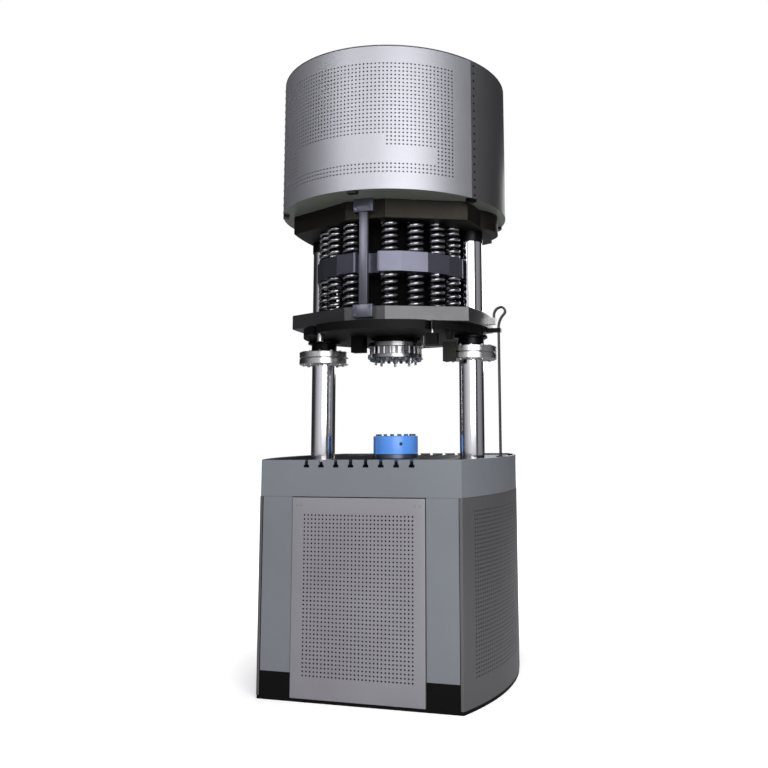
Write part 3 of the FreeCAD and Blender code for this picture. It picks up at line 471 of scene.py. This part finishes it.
# Door fasteners: pairs of small socket screws, turned and zinc plated, which
# hold both doors by their top corners.
def metal(name, code, rough, other=None, shine=1.0, grain=0.06, grain_mm=0.8,
          stretch=(1, 1, 12)):
    """Machined metal: a stretched noise is the tool's grain, in roughness and bump, and a
    slow one stains the colour. A stretched noise of scale 83 has lines of about 1 mm. Real
    tool marks are finer; they are drawn 0.8 mm wide, so that they show from close by."""
    finish = bpy.data.materials.new(name)
    finish.use_nodes = True
    tree = finish.node_tree
    shader = tree.nodes["Principled BSDF"]
    where = add(tree, "TexCoord").outputs["Object"]
    drawn = add(tree, "Mapping", {"Vector": where, "Scale": stretch}).outputs[0]
    lines = add(tree, "TexNoise", {"Vector": drawn, "Scale": 83.0 / grain_mm,
                                   "Detail": 4.0}).outputs["Fac"]
    stain = add(tree, "TexNoise", {"Vector": where, "Scale": 9.0, "Detail": 4.0}).outputs["Fac"]
    tone = add(tree, "Mix", {0: stain, 6: linear(other or code), 7: linear(code)},
               data_type="RGBA")
    tree.links.new(tone.outputs[2], shader.inputs["Base Color"])
    gloss = add(tree, "MapRange", {"Value": lines, "To Min": rough * 0.75, "To Max": rough * 1.3})
    tree.links.new(gloss.outputs[0], shader.inputs["Roughness"])
    shader.inputs["Metallic"].default_value = shine
    bump = add(tree, "Bump", {"Height": lines, "Strength": grain, "Distance": 0.0003})
    tree.links.new(bump.outputs["Normal"], shader.inputs["Normal"])
    return finish


def turned_about(profile, count=96, centre=(0.0, 0.0), closed=False):
    """A profile of (radius, height) turned round a vertical line. Open ends are capped, a
    closed loop makes a ring."""
    profile = np.array(profile, float)
    a = np.linspace(0, 2 * math.pi, count, endpoint=False)
    points = np.stack([centre[0] + profile[:, :1] * np.cos(a),
                       centre[1] + profile[:, :1] * np.sin(a),
                       np.repeat(profile[:, 1:], count, 1)], -1).reshape(-1, 3)
    at = np.arange(len(profile) * count).reshape(len(profile), count)
    now, after = (at, np.roll(at, -1, 0)) if closed else (at[:-1], at[1:])
    quads = np.stack([now, np.roll(now, -1, 1), np.roll(after, -1, 1), after], -1).reshape(-1, 4)
    return (points, quads) if closed else (points, quads, np.stack([at[0, ::-1], at[-1]]))


def six_sided(a):
    """How much farther out a hexagon's edge lies than its flats: one over the cosine of
    the angle to the middle of the nearest flat."""
    return 1 / np.cos((a + math.pi / 6) % (math.pi / 3) - math.pi / 6)


def screws(places, ups, radius, height, count=12):
    """Socket-head screws in one mesh: on each seat, rings of a round head, its chamfer and
    a six-sided socket."""
    places, ups = np.atleast_2d(places), np.atleast_2d(ups) * np.ones((len(places), 1))
    a = np.linspace(0, 2 * math.pi, count, endpoint=False)
    edge, key = 0.12 * radius, 0.5 * radius * six_sided(a)
    rings = [(radius, 0), (radius, height - edge), (radius - edge, height), (key, height),
             (key, 0.45 * height)]
    helper = np.where(np.abs(ups[:, 2:]) > 0.9, (1.0, 0, 0), (0, 0, 1.0))
    e1 = np.cross(helper, ups)
    e1 /= np.linalg.norm(e1, axis=1)[:, None]
    e2 = np.cross(ups, e1)
    points = np.stack([places[:, None] + (r * np.cos(a))[:, None] * e1[:, None]
                       + (r * np.sin(a))[:, None] * e2[:, None] + h * ups[:, None]
                       for r, h in rings], 1)
    at = np.arange(points[..., 0].size).reshape(points.shape[:3])
    n2 = np.roll(at, -1, 2)
    quads = np.stack([at[:, :-1], n2[:, :-1], n2[:, 1:], at[:, 1:]], -1)
    caps = np.concatenate([at[:, 0, ::-1], at[:, -1]])
    return points.reshape(-1, 3), quads.reshape(-1, 4), caps


# Zinc plating: pale and slightly milky, with soft highlights.
zinc = metal("zinc_plated_steel", "#b4b4b0", 0.32)
DOOR_SCREW_X, DOOR_SCREW_HALF_GAP, DOOR_SCREW_Z = 0.311, 0.012, 0.941
door_seats = [(sx * DOOR_SCREW_X + dx, sy * DOOR_FACE, DOOR_SCREW_Z)
              for sy in (-1, 1) for sx in (-1, 1)
              for dx in (-DOOR_SCREW_HALF_GAP, DOOR_SCREW_HALF_GAP)]
door_ways = [(0, s[1] / DOOR_FACE, 0) for s in door_seats]
door_screws = mesh_piece("door_screws", *screws(door_seats, door_ways, radius=0.005,
                                                height=0.003))
fit(smooth(door_screws), zinc, "base", "screw_steel", "door_fasteners")


# Table and deck: planed cast iron bars with the slots between them, dark with
# oil and streaked by the planer, and painted deck sheets at both sides. The
# hose grommet is moulded rubber, dull and black.
planed_iron = metal("planed_iron_oiled", "#343436", 0.4, other="#28282a", shine=0.6,
                    stretch=(6, 1, 1))
rubber = powder_coat("rubber_moulded", "#1c1c1c", "#161616", flake=0.0, rough=0.6)
dress(["tslot_table"], planed_iron)
dress(["table_deck"], black_coat)
dress(["hose_grommet", "air_mounts"], rubber)


# Columns: ground and hard-chromed bars, nearly mirrors, with a turned chamfer
# at the top. The nuts under the bed are plainly turned, with silky highlights.
chrome = metal("hard_chrome_ground", "#dcdce0", 0.1, grain=0.01)
turned = metal("turned_steel", "#b4b4b4", 0.27)
COLUMN_X, COLUMN_R, COLUMN_FOOT, COLUMN_TOP, COLUMN_EDGE = 0.444, 0.0675, 0.682, 2.9, 0.004
COLUMN_RINGS = (COLUMN_FOOT, 1.15, 1.7, 2.4, COLUMN_TOP - COLUMN_EDGE)
column_line = [(COLUMN_R, z) for z in COLUMN_RINGS] + [(COLUMN_R - COLUMN_EDGE, COLUMN_TOP)]
for name, side in (("column_left", -1), ("column_right", 1)):
    bar = mesh_piece(name + "_bar", *turned_about(column_line, 128, (side * COLUMN_X, 0)))
    fit(smooth(bar), chrome, "base", "chrome", name)
dress(["column_nuts"], turned)


# Load cell: an enamelled steel drum on a turned foot, with a ring of screws
# on top and a connector socket low on its front.
def ring_places(count, radius, z, first=0.0, centre=(0.0, 0.0)):
    """Places on a circle, counted by azimuth from the front towards +X: x goes with the
    sine, y with minus the cosine."""
    a = np.radians(first + 360.0 * np.arange(count) / count)
    return np.c_[centre[0] + radius * np.sin(a), centre[1] - radius * np.cos(a),
                 np.full(count, z)]


def turned_towards(profile, at, towards, count=24):
    """A profile of (radius, distance) turned round a line from a point in a level
    direction."""
    points, quads, caps = turned_about(profile, count)
    way = np.array(towards, float) / np.linalg.norm(towards)
    side = np.cross((0, 0, 1), way)
    spun = points[:, :1] * side + points[:, 1:2] * np.cross(way, side) + points[:, 2:] * way
    return spun + np.array(at), quads, caps


# Gloss enamel: an even colour under one clear highlight. Heat-blued steel: a
# blue-grey skin with a soft shine. On the cell's foot this blue-grey stands for
# a painted reflection of the blue drum above it.
enamel_blue = powder_coat("gloss_enamel_blue", "#62a4ff", "#5698f6", flake=0.0, rough=0.3,
                          depth=0.015)
blued_steel_and_reflection = metal("heat_blued_steel_and_painted_reflection", "#5b6472", 0.35, shine=0.9)
CELL_LOW, CELL_HIGH, CELL_R, CELL_EDGE = 1.177, 1.274, 0.1235, 0.004
CELL_LIP, CELL_DISH, CELL_BORE = 0.118, 0.001, 0.048
FOOT_LOW, FOOT_R, FOOT_EDGE = 1.152, 0.126, 0.002
CELL_SCREWS, CELL_SCREW_RING, SEATED = 16, 0.104, 0.0005
drum = [(CELL_R, CELL_LOW), (CELL_R, CELL_HIGH - CELL_EDGE)]
drum += [(CELL_R - CELL_EDGE * (1 - math.cos(t)), CELL_HIGH - CELL_EDGE * (1 - math.sin(t)))
         for t in (0.5, 1.0, 1.57)]
drum += [(CELL_LIP, CELL_HIGH), (CELL_LIP - 0.0005, CELL_HIGH - CELL_DISH),
         (CELL_BORE + 0.002, CELL_HIGH - CELL_DISH), (CELL_BORE, CELL_HIGH - CELL_EDGE)]
foot = [(FOOT_R - FOOT_EDGE, FOOT_LOW), (FOOT_R, FOOT_LOW + FOOT_EDGE),
        (FOOT_R, CELL_LOW - FOOT_EDGE), (FOOT_R - FOOT_EDGE, CELL_LOW)]
drum_piece = mesh_piece("load_cell_drum", *turned_about(drum, 128))
fit(smooth(drum_piece), enamel_blue, "base", "cell_blue", "load_cell")
# The foot's blue-grey tint is a painted reflection of the blue drum, on plain steel.
foot_piece = mesh_piece("load_cell_foot", *turned_about(foot, 128))
fit(smooth(foot_piece), blued_steel_and_reflection, "base", "cell_base_steel", "load_cell_base")
cell_seats = ring_places(CELL_SCREWS, CELL_SCREW_RING, CELL_HIGH - SEATED, 180 / CELL_SCREWS)
cell_ring = mesh_piece("load_cell_ring_screws", *screws(cell_seats, (0, 0, 1), radius=0.008,
                                                        height=0.0108))
fit(smooth(cell_ring), blued_steel_and_reflection, "base", "screw_steel", "load_cell_screws")

SOCKET_AZIMUTH, SOCKET_Z, SOCKET_SUNK = math.radians(34), 1.231, 0.006
socket_way = np.array((math.sin(SOCKET_AZIMUTH), -math.cos(SOCKET_AZIMUTH), 0))
socket_at = socket_way * (CELL_R - SOCKET_SUNK) + (0, 0, SOCKET_Z)
SOCKET_R, SOCKET_LEN, RECESS_R = 0.009, 0.0072, 0.0064
socket_line = [(SOCKET_R, 0), (SOCKET_R, SOCKET_LEN - 0.0006), (SOCKET_R - 0.0008, SOCKET_LEN),
               (RECESS_R + 0.0002, SOCKET_LEN), (RECESS_R, SOCKET_LEN - 0.0004),
               (RECESS_R, SOCKET_LEN - 0.0008)]
socket = mesh_piece("cell_socket", *turned_towards(socket_line, socket_at, socket_way))
fit(smooth(socket), rubber, "base", "rubber")


# Crosshead plates. Blued and milled steel is a warm grey with a silky shine;
# the upper yoke and the cable cover are blackened, nearly without one, and
# their colour is darker still as painted shade from the hood above them. Black
# oxide keeps thin, sharp highlights, and the manifold's olive paint is flat and dark.
blued = metal("blued_steel_milled", "#505052", 0.36, other="#3f3f41", shine=0.7,
              stretch=(1, 1, 4))
# Dark steel whose colour also holds painted shade from the hood above.
blackened_and_shaded_steel = metal("blackened_steel_milled_painted_shade", "#302e2a", 0.55, other="#262420",
                    stretch=(1, 1, 4))
oxide = metal("black_oxide_steel", "#1c1c1e", 0.36)
olive = powder_coat("painted_cast_iron_olive", "#282a24", "#21231e", flake=0.0, rough=0.6,
                    specular=0.2)
dress(["lower_yoke"], blued)
dress(["upper_yoke", "cable_cover"], blackened_and_shaded_steel)
dress(["under_plate", "sensor_housing", "limit_switch", "stop_knob"], black_coat)
dress(["clamp_manifold"], olive)


# Bushes: black bronze-lined sleeves in both yokes; the lower ones have a
# flange under the housing plate and stand on the clamp rings.
def gather(parts):
    """Joins meshes given as points and face arrays of like shape into one."""
    shift = np.cumsum([0] + [len(p[0]) for p in parts[:-1]])
    sets = [np.concatenate([p[k] + s for p, s in zip(parts, shift)])
            for k in range(1, len(parts[0]))]
    return np.concatenate([p[0] for p in parts]), *sets


RUN_R, SLEEVE_R, FLANGE_R, BUSH_EDGE = 0.0676, 0.072, 0.092, 0.002
LOW_BUSH, BUSH_FLANGE, HIGH_BUSH = (1.758, 1.942), (1.805, 1.819), (2.343, 2.505)
low_line = [(RUN_R, LOW_BUSH[0]), (SLEEVE_R, LOW_BUSH[0]), (SLEEVE_R, BUSH_FLANGE[0]),
            (FLANGE_R - BUSH_EDGE, BUSH_FLANGE[0]), (FLANGE_R, BUSH_FLANGE[0] + BUSH_EDGE),
            (FLANGE_R, BUSH_FLANGE[1] - BUSH_EDGE), (FLANGE_R - BUSH_EDGE, BUSH_FLANGE[1]),
            (SLEEVE_R, BUSH_FLANGE[1]), (SLEEVE_R, LOW_BUSH[1] - BUSH_EDGE),
            (SLEEVE_R - BUSH_EDGE, LOW_BUSH[1]), (RUN_R, LOW_BUSH[1])]
high_line = [(RUN_R, HIGH_BUSH[0]), (SLEEVE_R - BUSH_EDGE, HIGH_BUSH[0]),
             (SLEEVE_R, HIGH_BUSH[0] + BUSH_EDGE), (SLEEVE_R, HIGH_BUSH[1]),
             (RUN_R, HIGH_BUSH[1])]
for name, line in (("lower_bushes", low_line), ("upper_bushes", high_line)):
    pair = gather([turned_about(line, 64, (x, 0), True) for x in (-COLUMN_X, COLUMN_X)])
    fit(smooth(mesh_piece(name + "_sleeves", *pair)), oxide, "crosshead", "bush_black", name)

# Clamp rings: two turned steel rings on each column with a narrow groove
# between them, drawn together by a circle of screws above and below.
CLAMP_R, CLAMP_LOW, CLAMP_MID, CLAMP_HIGH, CLAMP_EDGE = 0.14, 1.687, 1.7225, 1.758, 0.002
CLAMP_GROOVE, GROOVE_R, CLAMP_SCREWS, CLAMP_SCREW_RING = 0.0028, 0.126, 12, 0.118
groove = (CLAMP_MID - CLAMP_GROOVE, CLAMP_MID + CLAMP_GROOVE)
ring_lines = [[(RUN_R, z0), (CLAMP_R - CLAMP_EDGE, z0), (CLAMP_R, z0 + CLAMP_EDGE),
               (CLAMP_R, z1 - CLAMP_EDGE), (CLAMP_R - CLAMP_EDGE, z1), (RUN_R, z1)]
              for z0, z1 in ((CLAMP_LOW, groove[0]), (groove[1], CLAMP_HIGH))]
ring_lines.append([(RUN_R, groove[0]), (GROOVE_R, groove[0]), (GROOVE_R, groove[1]),
                   (RUN_R, groove[1])])
clamp_heads = []
for name, side in (("clamp_rings_left", -1), ("clamp_rings_right", 1)):
    hub = (side * COLUMN_X, 0)
    rings = mesh_piece(name + "_turned", *gather([turned_about(line, 96, hub, True)
                                                  for line in ring_lines]))
    fit(smooth(rings), turned, "crosshead", "bright_steel", name)
    for z, up in ((CLAMP_HIGH, 1), (CLAMP_LOW, -1)):
        seats = ring_places(CLAMP_SCREWS, CLAMP_SCREW_RING, z, 180 / CLAMP_SCREWS, hub)
        clamp_heads.append(screws(seats, (0, 0, up), radius=0.008, height=0.007))
clamp_screws = mesh_piece("clamp_ring_screws", *gather(clamp_heads))
fit(smooth(clamp_screws), zinc, "crosshead", "screw_steel", "clamp_screws")


# Tie bars: drawn steel bars front and rear between blocks that are screwed on
# the noses of both yokes. Drawing leaves fine lines along the bar, and blueing
# a bluish grey.
def boxes(bounds):
    """Boxes from (x0, x1, y0, y1, z0, z1) rows: eight corners and six outward faces each."""
    bounds = np.atleast_2d(bounds)
    pick = np.array([(x, 2 + y, 4 + z) for z in (0, 1) for y in (0, 1) for x in (0, 1)])
    sides = np.array([(0, 2, 3, 1), (4, 5, 7, 6), (0, 1, 5, 4), (1, 3, 7, 5), (3, 2, 6, 7),
                      (2, 0, 4, 6)])
    faces = sides[None] + len(pick) * np.arange(len(bounds))[:, None, None]
    return bounds[:, pick].reshape(-1, 3), faces.reshape(-1, 4)


def rounded(piece, width=0.0015):
    """Broken edges: a narrow bevel in two steps along every edge."""
    bevel = piece.modifiers.new("broken_edges", "BEVEL")
    bevel.width, bevel.segments = width, 2
    return piece


def front_and_rear(rows):
    """The same boxes at the rear and, with y changed in sign, at the front."""
    return rows + [(x0, x1, -y1, -y0, z0, z1) for x0, x1, y0, y1, z0, z1 in rows]


tie_steel = metal("blued_steel_drawn", "#61616d", 0.33, other="#53535d", shine=0.75,
                  stretch=(8, 8, 1))
TIE_FACE, TIE_HALF, TIE_T = 0.456, 0.023, 0.024
BLOCK_HALF, BLOCK_T, BLOCK_H, BLOCK_LOW, BLOCK_TOP = 0.054, 0.03, 0.068, 1.88, 2.505
BLOCK_SCREW_X, BLOCK_SCREW_IN, BLOCK_SCREW_SUNK = 0.04, 0.014, 0.0015
block_feet = (BLOCK_LOW, BLOCK_TOP - BLOCK_H)
bars = [(-TIE_HALF, TIE_HALF, TIE_FACE, TIE_FACE + TIE_T, BLOCK_LOW + BLOCK_H,
         BLOCK_TOP - BLOCK_H)]
blocks = [(-BLOCK_HALF, BLOCK_HALF, TIE_FACE, TIE_FACE + BLOCK_T, z, z + BLOCK_H)
          for z in block_feet]
for name, rows, node in (("tie_bar_pair", bars, "tie_bars"),
                         ("tie_block_set", blocks, "tie_blocks")):
    piece = mesh_piece(name, *boxes(front_and_rear(rows)))
    fit(rounded(piece), tie_steel, "crosshead", "tie_steel", node)
block_seats = [(x, sy * (TIE_FACE + BLOCK_T - BLOCK_SCREW_SUNK), z)
               for sy in (-1, 1)
               for z in (BLOCK_LOW + BLOCK_SCREW_IN, BLOCK_LOW + BLOCK_H - BLOCK_SCREW_IN,
                         BLOCK_TOP - BLOCK_SCREW_IN, BLOCK_TOP - BLOCK_H + BLOCK_SCREW_IN)
               for x in (-BLOCK_SCREW_X, BLOCK_SCREW_X)]
block_ways = [(0, math.copysign(1, p[1]), 0) for p in block_seats]
tie_heads = mesh_piece("tie_block_screws", *screws(block_seats, block_ways, radius=0.0075,
                                                   height=0.0042))
fit(smooth(tie_heads), blued_steel_and_reflection, "crosshead", "screw_steel")


# Resonating plate: a thick ground plate, blued like the tie bars. Its facets
# differ in brightness, because grinding makes them shine.
plate_blued = metal("blued_steel_ground", "#5c5c69", 0.36, other="#50505b", shine=0.8,
                    stretch=(1, 1, 3))
dress(["resonator_plate"], plate_blued)


# Springs: sixteen in each layer between yoke and plate, wound from round wire,
# closed and ground at both ends. Their dark lacquer is thin and glossy, so that
# each turn has one sharp line of light.
def coil_spring(place, z0, z1, active, steps=22, sides=12):
    """A wire circle carried along a helix whose pitch fades out over the end turns; ends
    cut flat."""
    turns = active + 2 * END_TURNS
    t = np.linspace(0, turns, int(turns * steps))
    rate = np.clip(np.minimum(t, turns - t) / END_TURNS, 0.12, 1.0)
    height = np.concatenate([[0], np.cumsum((rate[1:] + rate[:-1]) / 2 * np.diff(t))])
    height = z0 + WIRE_R * 0.55 + height / height[-1] * (z1 - z0 - 1.1 * WIRE_R)
    turn_at = 2 * math.pi * t + math.radians(3 * place)
    out = np.c_[np.cos(turn_at), np.sin(turn_at), np.zeros(len(t))]
    hub = math.radians(place)
    line = out * SPRING_MEAN + np.c_[np.full(len(t), SPRING_RING * math.sin(hub)),
                                     np.full(len(t), -SPRING_RING * math.cos(hub)), height]
    tangent = np.gradient(line, axis=0)
    tangent /= np.linalg.norm(tangent, axis=1)[:, None]
    lift = np.cross(tangent, -out)
    a = np.linspace(0, 2 * math.pi, sides, endpoint=False)[:, None]
    skin = line[:, None] + WIRE_R * (np.cos(a) * out[:, None] + np.sin(a) * lift[:, None])
    skin[..., 2] = np.clip(skin[..., 2], z0, z1)
    at = np.arange(len(t) * sides).reshape(len(t), sides)
    n2 = np.roll(at, -1, 1)
    quads = np.stack([at[:-1], n2[:-1], n2[1:], at[1:]], -1).reshape(-1, 4)
    return skin.reshape(-1, 3), quads, np.stack([at[0, ::-1], at[-1]])


SPRING_RING, SPRING_MEAN, WIRE_R, END_TURNS, ACTIVE_TURNS = 0.390, 0.038, 0.011, 0.7, 4.0
YOKE_TOP, PLATE_LOW, PLATE_HIGH, YOKE_UNDER, SEAT_GAP = 1.942, 2.128, 2.233, 2.403, 0.0003
SPRING_PLACES = [sign * a + half for half in (0, 180) for a in (16.0, 35.5, 54.0, 72.0)
                 for sign in (1, -1)]
spring_wire = metal("spring_steel_black_lacquer", "#98989c", 0.24, other="#7a7a7e", grain=0.02)
for name, crosshead_z, plate_z in (("springs_lower", YOKE_TOP, PLATE_LOW),
                                   ("springs_upper", YOKE_UNDER, PLATE_HIGH)):
    low, high = min(crosshead_z, plate_z) + SEAT_GAP, max(crosshead_z, plate_z) - SEAT_GAP
    coils = mesh_piece(name + "_coils", *gather([coil_spring(a, low, high, ACTIVE_TURNS)
                                                 for a in SPRING_PLACES]))
    smooth(coils, 50)
    coils.data.materials.append(spring_wire)
    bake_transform(coils)
    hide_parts(name)

# Black rings: thin black sheet rolled to a ring inside each spring layer, a
# dark fill that paints the shade behind and between the springs. The rings on
# the yokes end short of the plate, which swings free between them and carries
# a narrower skirt above and below that covers the gap.
SHADE_RING_IN, SKIRT_IN, SHADE_RING_SHEET, SHADE_RING_CLEAR, SKIRT_H = 0.3, 0.292, 0.003, 0.013, 0.03
YOKE_SHADE_RINGS = ((YOKE_TOP + SEAT_GAP, PLATE_LOW - SHADE_RING_CLEAR),
               (PLATE_HIGH + SHADE_RING_CLEAR, YOKE_UNDER - SEAT_GAP))
PLATE_SKIRTS = ((PLATE_LOW - SKIRT_H, PLATE_LOW - SEAT_GAP),
                (PLATE_HIGH + SEAT_GAP, PLATE_HIGH + SKIRT_H))
for name, body, bore, heights in (("spring_shade_rings", "crosshead", SHADE_RING_IN, YOKE_SHADE_RINGS),
                                  ("spring_shade_skirts", "resonator", SKIRT_IN, PLATE_SKIRTS)):
    tubes = [turned_about([(bore, z0), (bore + SHADE_RING_SHEET, z0), (bore + SHADE_RING_SHEET, z1),
                           (bore, z1)], 96, closed=True) for z0, z1 in heights]
    fit(smooth(mesh_piece(name, *gather(tubes))), shade_black, body, "bush_black")

# Shaft, adapter and grip: a ground shaft through the plate, a black adapter,
# and a turned head whose two flanges are held by long screws round its waist.
# Fresh from the lathe, the head is bright with strong contrasts.
dress(["resonator_shaft", "shaft_nuts", "exciter_mass", "exciter_magnet"], oxide)
dress(["grip_adapter"], black_coat)
bright = metal("turned_steel_bright", "#a8a8aa", 0.24, other="#8c8c8e")
GRIP_R, GRIP_LOW, GRIP_HIGH, GRIP_FLANGE, WAIST_R = 0.157, 1.704, 1.792, 0.024, 0.141
FLANGE_EDGE, RIM_EDGE, GRIP_BORE, BORE_EDGE = 0.002, 0.003, 0.05, 0.004
GRIP_SCREWS, GRIP_SCREW_RING, GRIP_STUDS, GRIP_STUD_RING = 24, 0.136, 8, 0.112
SHANK_RING, SHANK_R = 0.139, 0.008
STUD_R, STUD_OUT, STUD_EDGE, NUT_R, NUT_H, NUT_EDGE = 0.007, 0.033, 0.0015, 0.0108, 0.0125, 0.001
waist_low, waist_high = GRIP_LOW + GRIP_FLANGE, GRIP_HIGH - GRIP_FLANGE
head = [(GRIP_BORE, GRIP_LOW + BORE_EDGE), (GRIP_BORE + 0.002, GRIP_LOW),
        (GRIP_R - RIM_EDGE, GRIP_LOW), (GRIP_R, GRIP_LOW + RIM_EDGE),
        (GRIP_R, waist_low - FLANGE_EDGE), (GRIP_R - FLANGE_EDGE, waist_low),
        (WAIST_R, waist_low), (WAIST_R, waist_high), (GRIP_R - FLANGE_EDGE, waist_high),
        (GRIP_R, waist_high + FLANGE_EDGE), (GRIP_R, GRIP_HIGH)]
head_piece = mesh_piece("grip_head_turned", *turned_about(head, 128))
fit(smooth(head_piece), bright, "resonator", "bright_steel", "grip_head")
shank = [(SHANK_R, waist_low - 0.001), (SHANK_R, waist_high + 0.001)]
shanks = gather([turned_about(shank, 10, p[:2])
                 for p in ring_places(GRIP_SCREWS, SHANK_RING, 0, 180 / GRIP_SCREWS)])
fit(smooth(mesh_piece("grip_waist_screws", *shanks)), bright, "resonator", "bright_steel")
grip_seats = ring_places(GRIP_SCREWS, GRIP_SCREW_RING, GRIP_LOW, 180 / GRIP_SCREWS)
grip_heads = screws(grip_seats, (0, 0, -1), radius=0.009, height=0.012)
grip_screws = mesh_piece("grip_ring_screws", *grip_heads)
fit(smooth(grip_screws), blued_steel_and_reflection, "resonator", "screw_steel", "grip_screws")
rod = [(STUD_R - STUD_EDGE, GRIP_LOW - STUD_OUT), (STUD_R, GRIP_LOW - STUD_OUT + STUD_EDGE),
       (STUD_R, GRIP_LOW)]
nut = [(NUT_R - NUT_EDGE, GRIP_LOW - NUT_H), (NUT_R, GRIP_LOW - NUT_H + NUT_EDGE),
       (NUT_R, GRIP_LOW)]
hexagon = six_sided(np.linspace(0, 2 * math.pi, 12, endpoint=False))
stud_parts = []
for p in ring_places(GRIP_STUDS, GRIP_STUD_RING, 0, 180 / GRIP_STUDS):
    stud_parts.append(turned_about(rod, 12, p[:2]))
    points, quads, caps = turned_about(nut, 12)
    points[:, :2] = points[:, :2] * np.tile(hexagon, len(nut))[:, None] + p[:2]
    stud_parts.append((points, quads, caps))
studs = mesh_piece("grip_stud_set", *gather(stud_parts))
fit(smooth(studs), bright, "resonator", "screw_steel", "grip_studs")


# Hood: two curved sheets screwed together on a strap behind the seams, with a
# perforated front and rear. The front has bare places low down. Its silver
# coat is rich in flake: a broad bright band over the front, dark flanks. The
# rear sheet has a darker copy of the same coat: painted shade.
def hood_arc(first, last, radius):
    """Plan of a hood sheet between two azimuths, in steps of about a degree."""
    a = np.radians(np.linspace(first, last, int(abs(last - first)) + 1))
    return np.c_[radius * np.sin(a), -radius * np.cos(a)]


HOOD_R, HOOD_LOW, HOOD_HIGH, HOOD_SHEET = 0.635, 2.505, 3.258, 0.003
VENT_PITCH, VENT_R, VENT_ROWS, VENT_LOW = 0.0204, 0.0046, 29, 2.595
FRONT_COLUMNS, REAR_COLUMNS, SEAM_AT, REAR_FROM = 53, 87, 59.2, 59.23
LINING_END, LINING_LOW, LINING_HIGH = 179.9, 0.02, 0.01
BARE_LOW = [((8, 35), (3, 10)), ((35, 48), (3, 7))]  # columns and rows without holes
hood_coat = powder_coat("powder_coat_silver_hood", "#a9a9b0", "#9f9fa5", flake=0.82, rough=0.52)
# The rear sheet's coat: the same silver made darker, painted shade.
hood_coat_painted_shade = powder_coat("powder_coat_silver_hood_painted_shade", "#727274", "#676769", flake=0.82)
hood_rise = np.array([(0, HOOD_LOW), (0, HOOD_HIGH)])
first_row = VENT_LOW - VENT_PITCH / 2 - HOOD_LOW
for name, coat, first, last, columns, bare in (
        ("hood_front_shell", hood_coat, -SEAM_AT, SEAM_AT, FRONT_COLUMNS, BARE_LOW),
        ("hood_rear_shell", hood_coat_painted_shade, REAR_FROM, 360 - REAR_FROM, REAR_COLUMNS, ())):
    arc = hood_arc(first, last, HOOD_R)
    first_column = (lengths_of(arc)[-1] - columns * VENT_PITCH) / 2
    vents = (first_column, columns), (first_row, VENT_ROWS)
    shell = perforated(name + "_sheet", arc, hood_rise, HOOD_SHEET, vents, VENT_R, VENT_PITCH,
                       bare=bare)
    fit(smooth(shell), coat, "crosshead", "hood_paint", name)
# Black lining inside the hood: painted shade for its dark inside, so that no hole shows through.
lining_arc = hood_arc(-LINING_END, LINING_END, HOOD_R - HOOD_SHEET - SHADE_LINING_GAP)
lining_rise = np.array([(0, HOOD_LOW + LINING_LOW), (0, HOOD_HIGH - LINING_HIGH)])
hood_lining = perforated("hood_shade_lining", lining_arc, lining_rise, SHADE_LINING)
fit(smooth(hood_lining), shade_black, "crosshead", "bush_black")

# Hood floor, cap and clips: the hood stands on a ring on the upper yoke, in
# flat grey-green paint; a dull graphite cap closes it, and six black clips
# hold the rim. Rows of small black screws run down both seams.
dress(["hood_floor"], powder_coat("powder_coat_grey_green", "#858a80", "#7a7e75", flake=0.2))
dress(["hood_cap"], powder_coat("powder_coat_graphite", "#3c3c3e", "#323234", flake=0.2,
                                rough=0.5))
dress(["hood_clips"], oxide)
SEAM_SCREWS, SEAM_SCREW_PAST, SEAM_SCREW_END = 18, 1.9, 0.02
seam_seats, seam_ways = [], []
for side in (-1, 1):
    seam = math.radians(side * (SEAM_AT + SEAM_SCREW_PAST))
    way = np.array((math.sin(seam), -math.cos(seam), 0))
    for z in np.linspace(HOOD_LOW + SEAM_SCREW_END, HOOD_HIGH - SEAM_SCREW_END, SEAM_SCREWS):
        seam_seats.append(way * (HOOD_R - SEATED) + (0, 0, z))
        seam_ways.append(way)
hood_heads = mesh_piece("hood_seam_screws", *screws(seam_seats, seam_ways, radius=0.0054,
                                                    height=0.0021))
fit(smooth(hood_heads), oxide, "crosshead", "black_screw", "hood_screws")


# Small pieces under the lower yoke: pipe, rods and hose fittings are turned
# steel; the hoses are black rubber with a slight shine, held by a clip.
dress(["clamp_pipe", "hanging_rods", "hose_fittings"], turned)
dress(["hose_clip"], oxide)
dress(["hose_a", "hose_b"], powder_coat("rubber_hose", "#2a2a2a", "#222222", flake=0.0,
                                        rough=0.35))
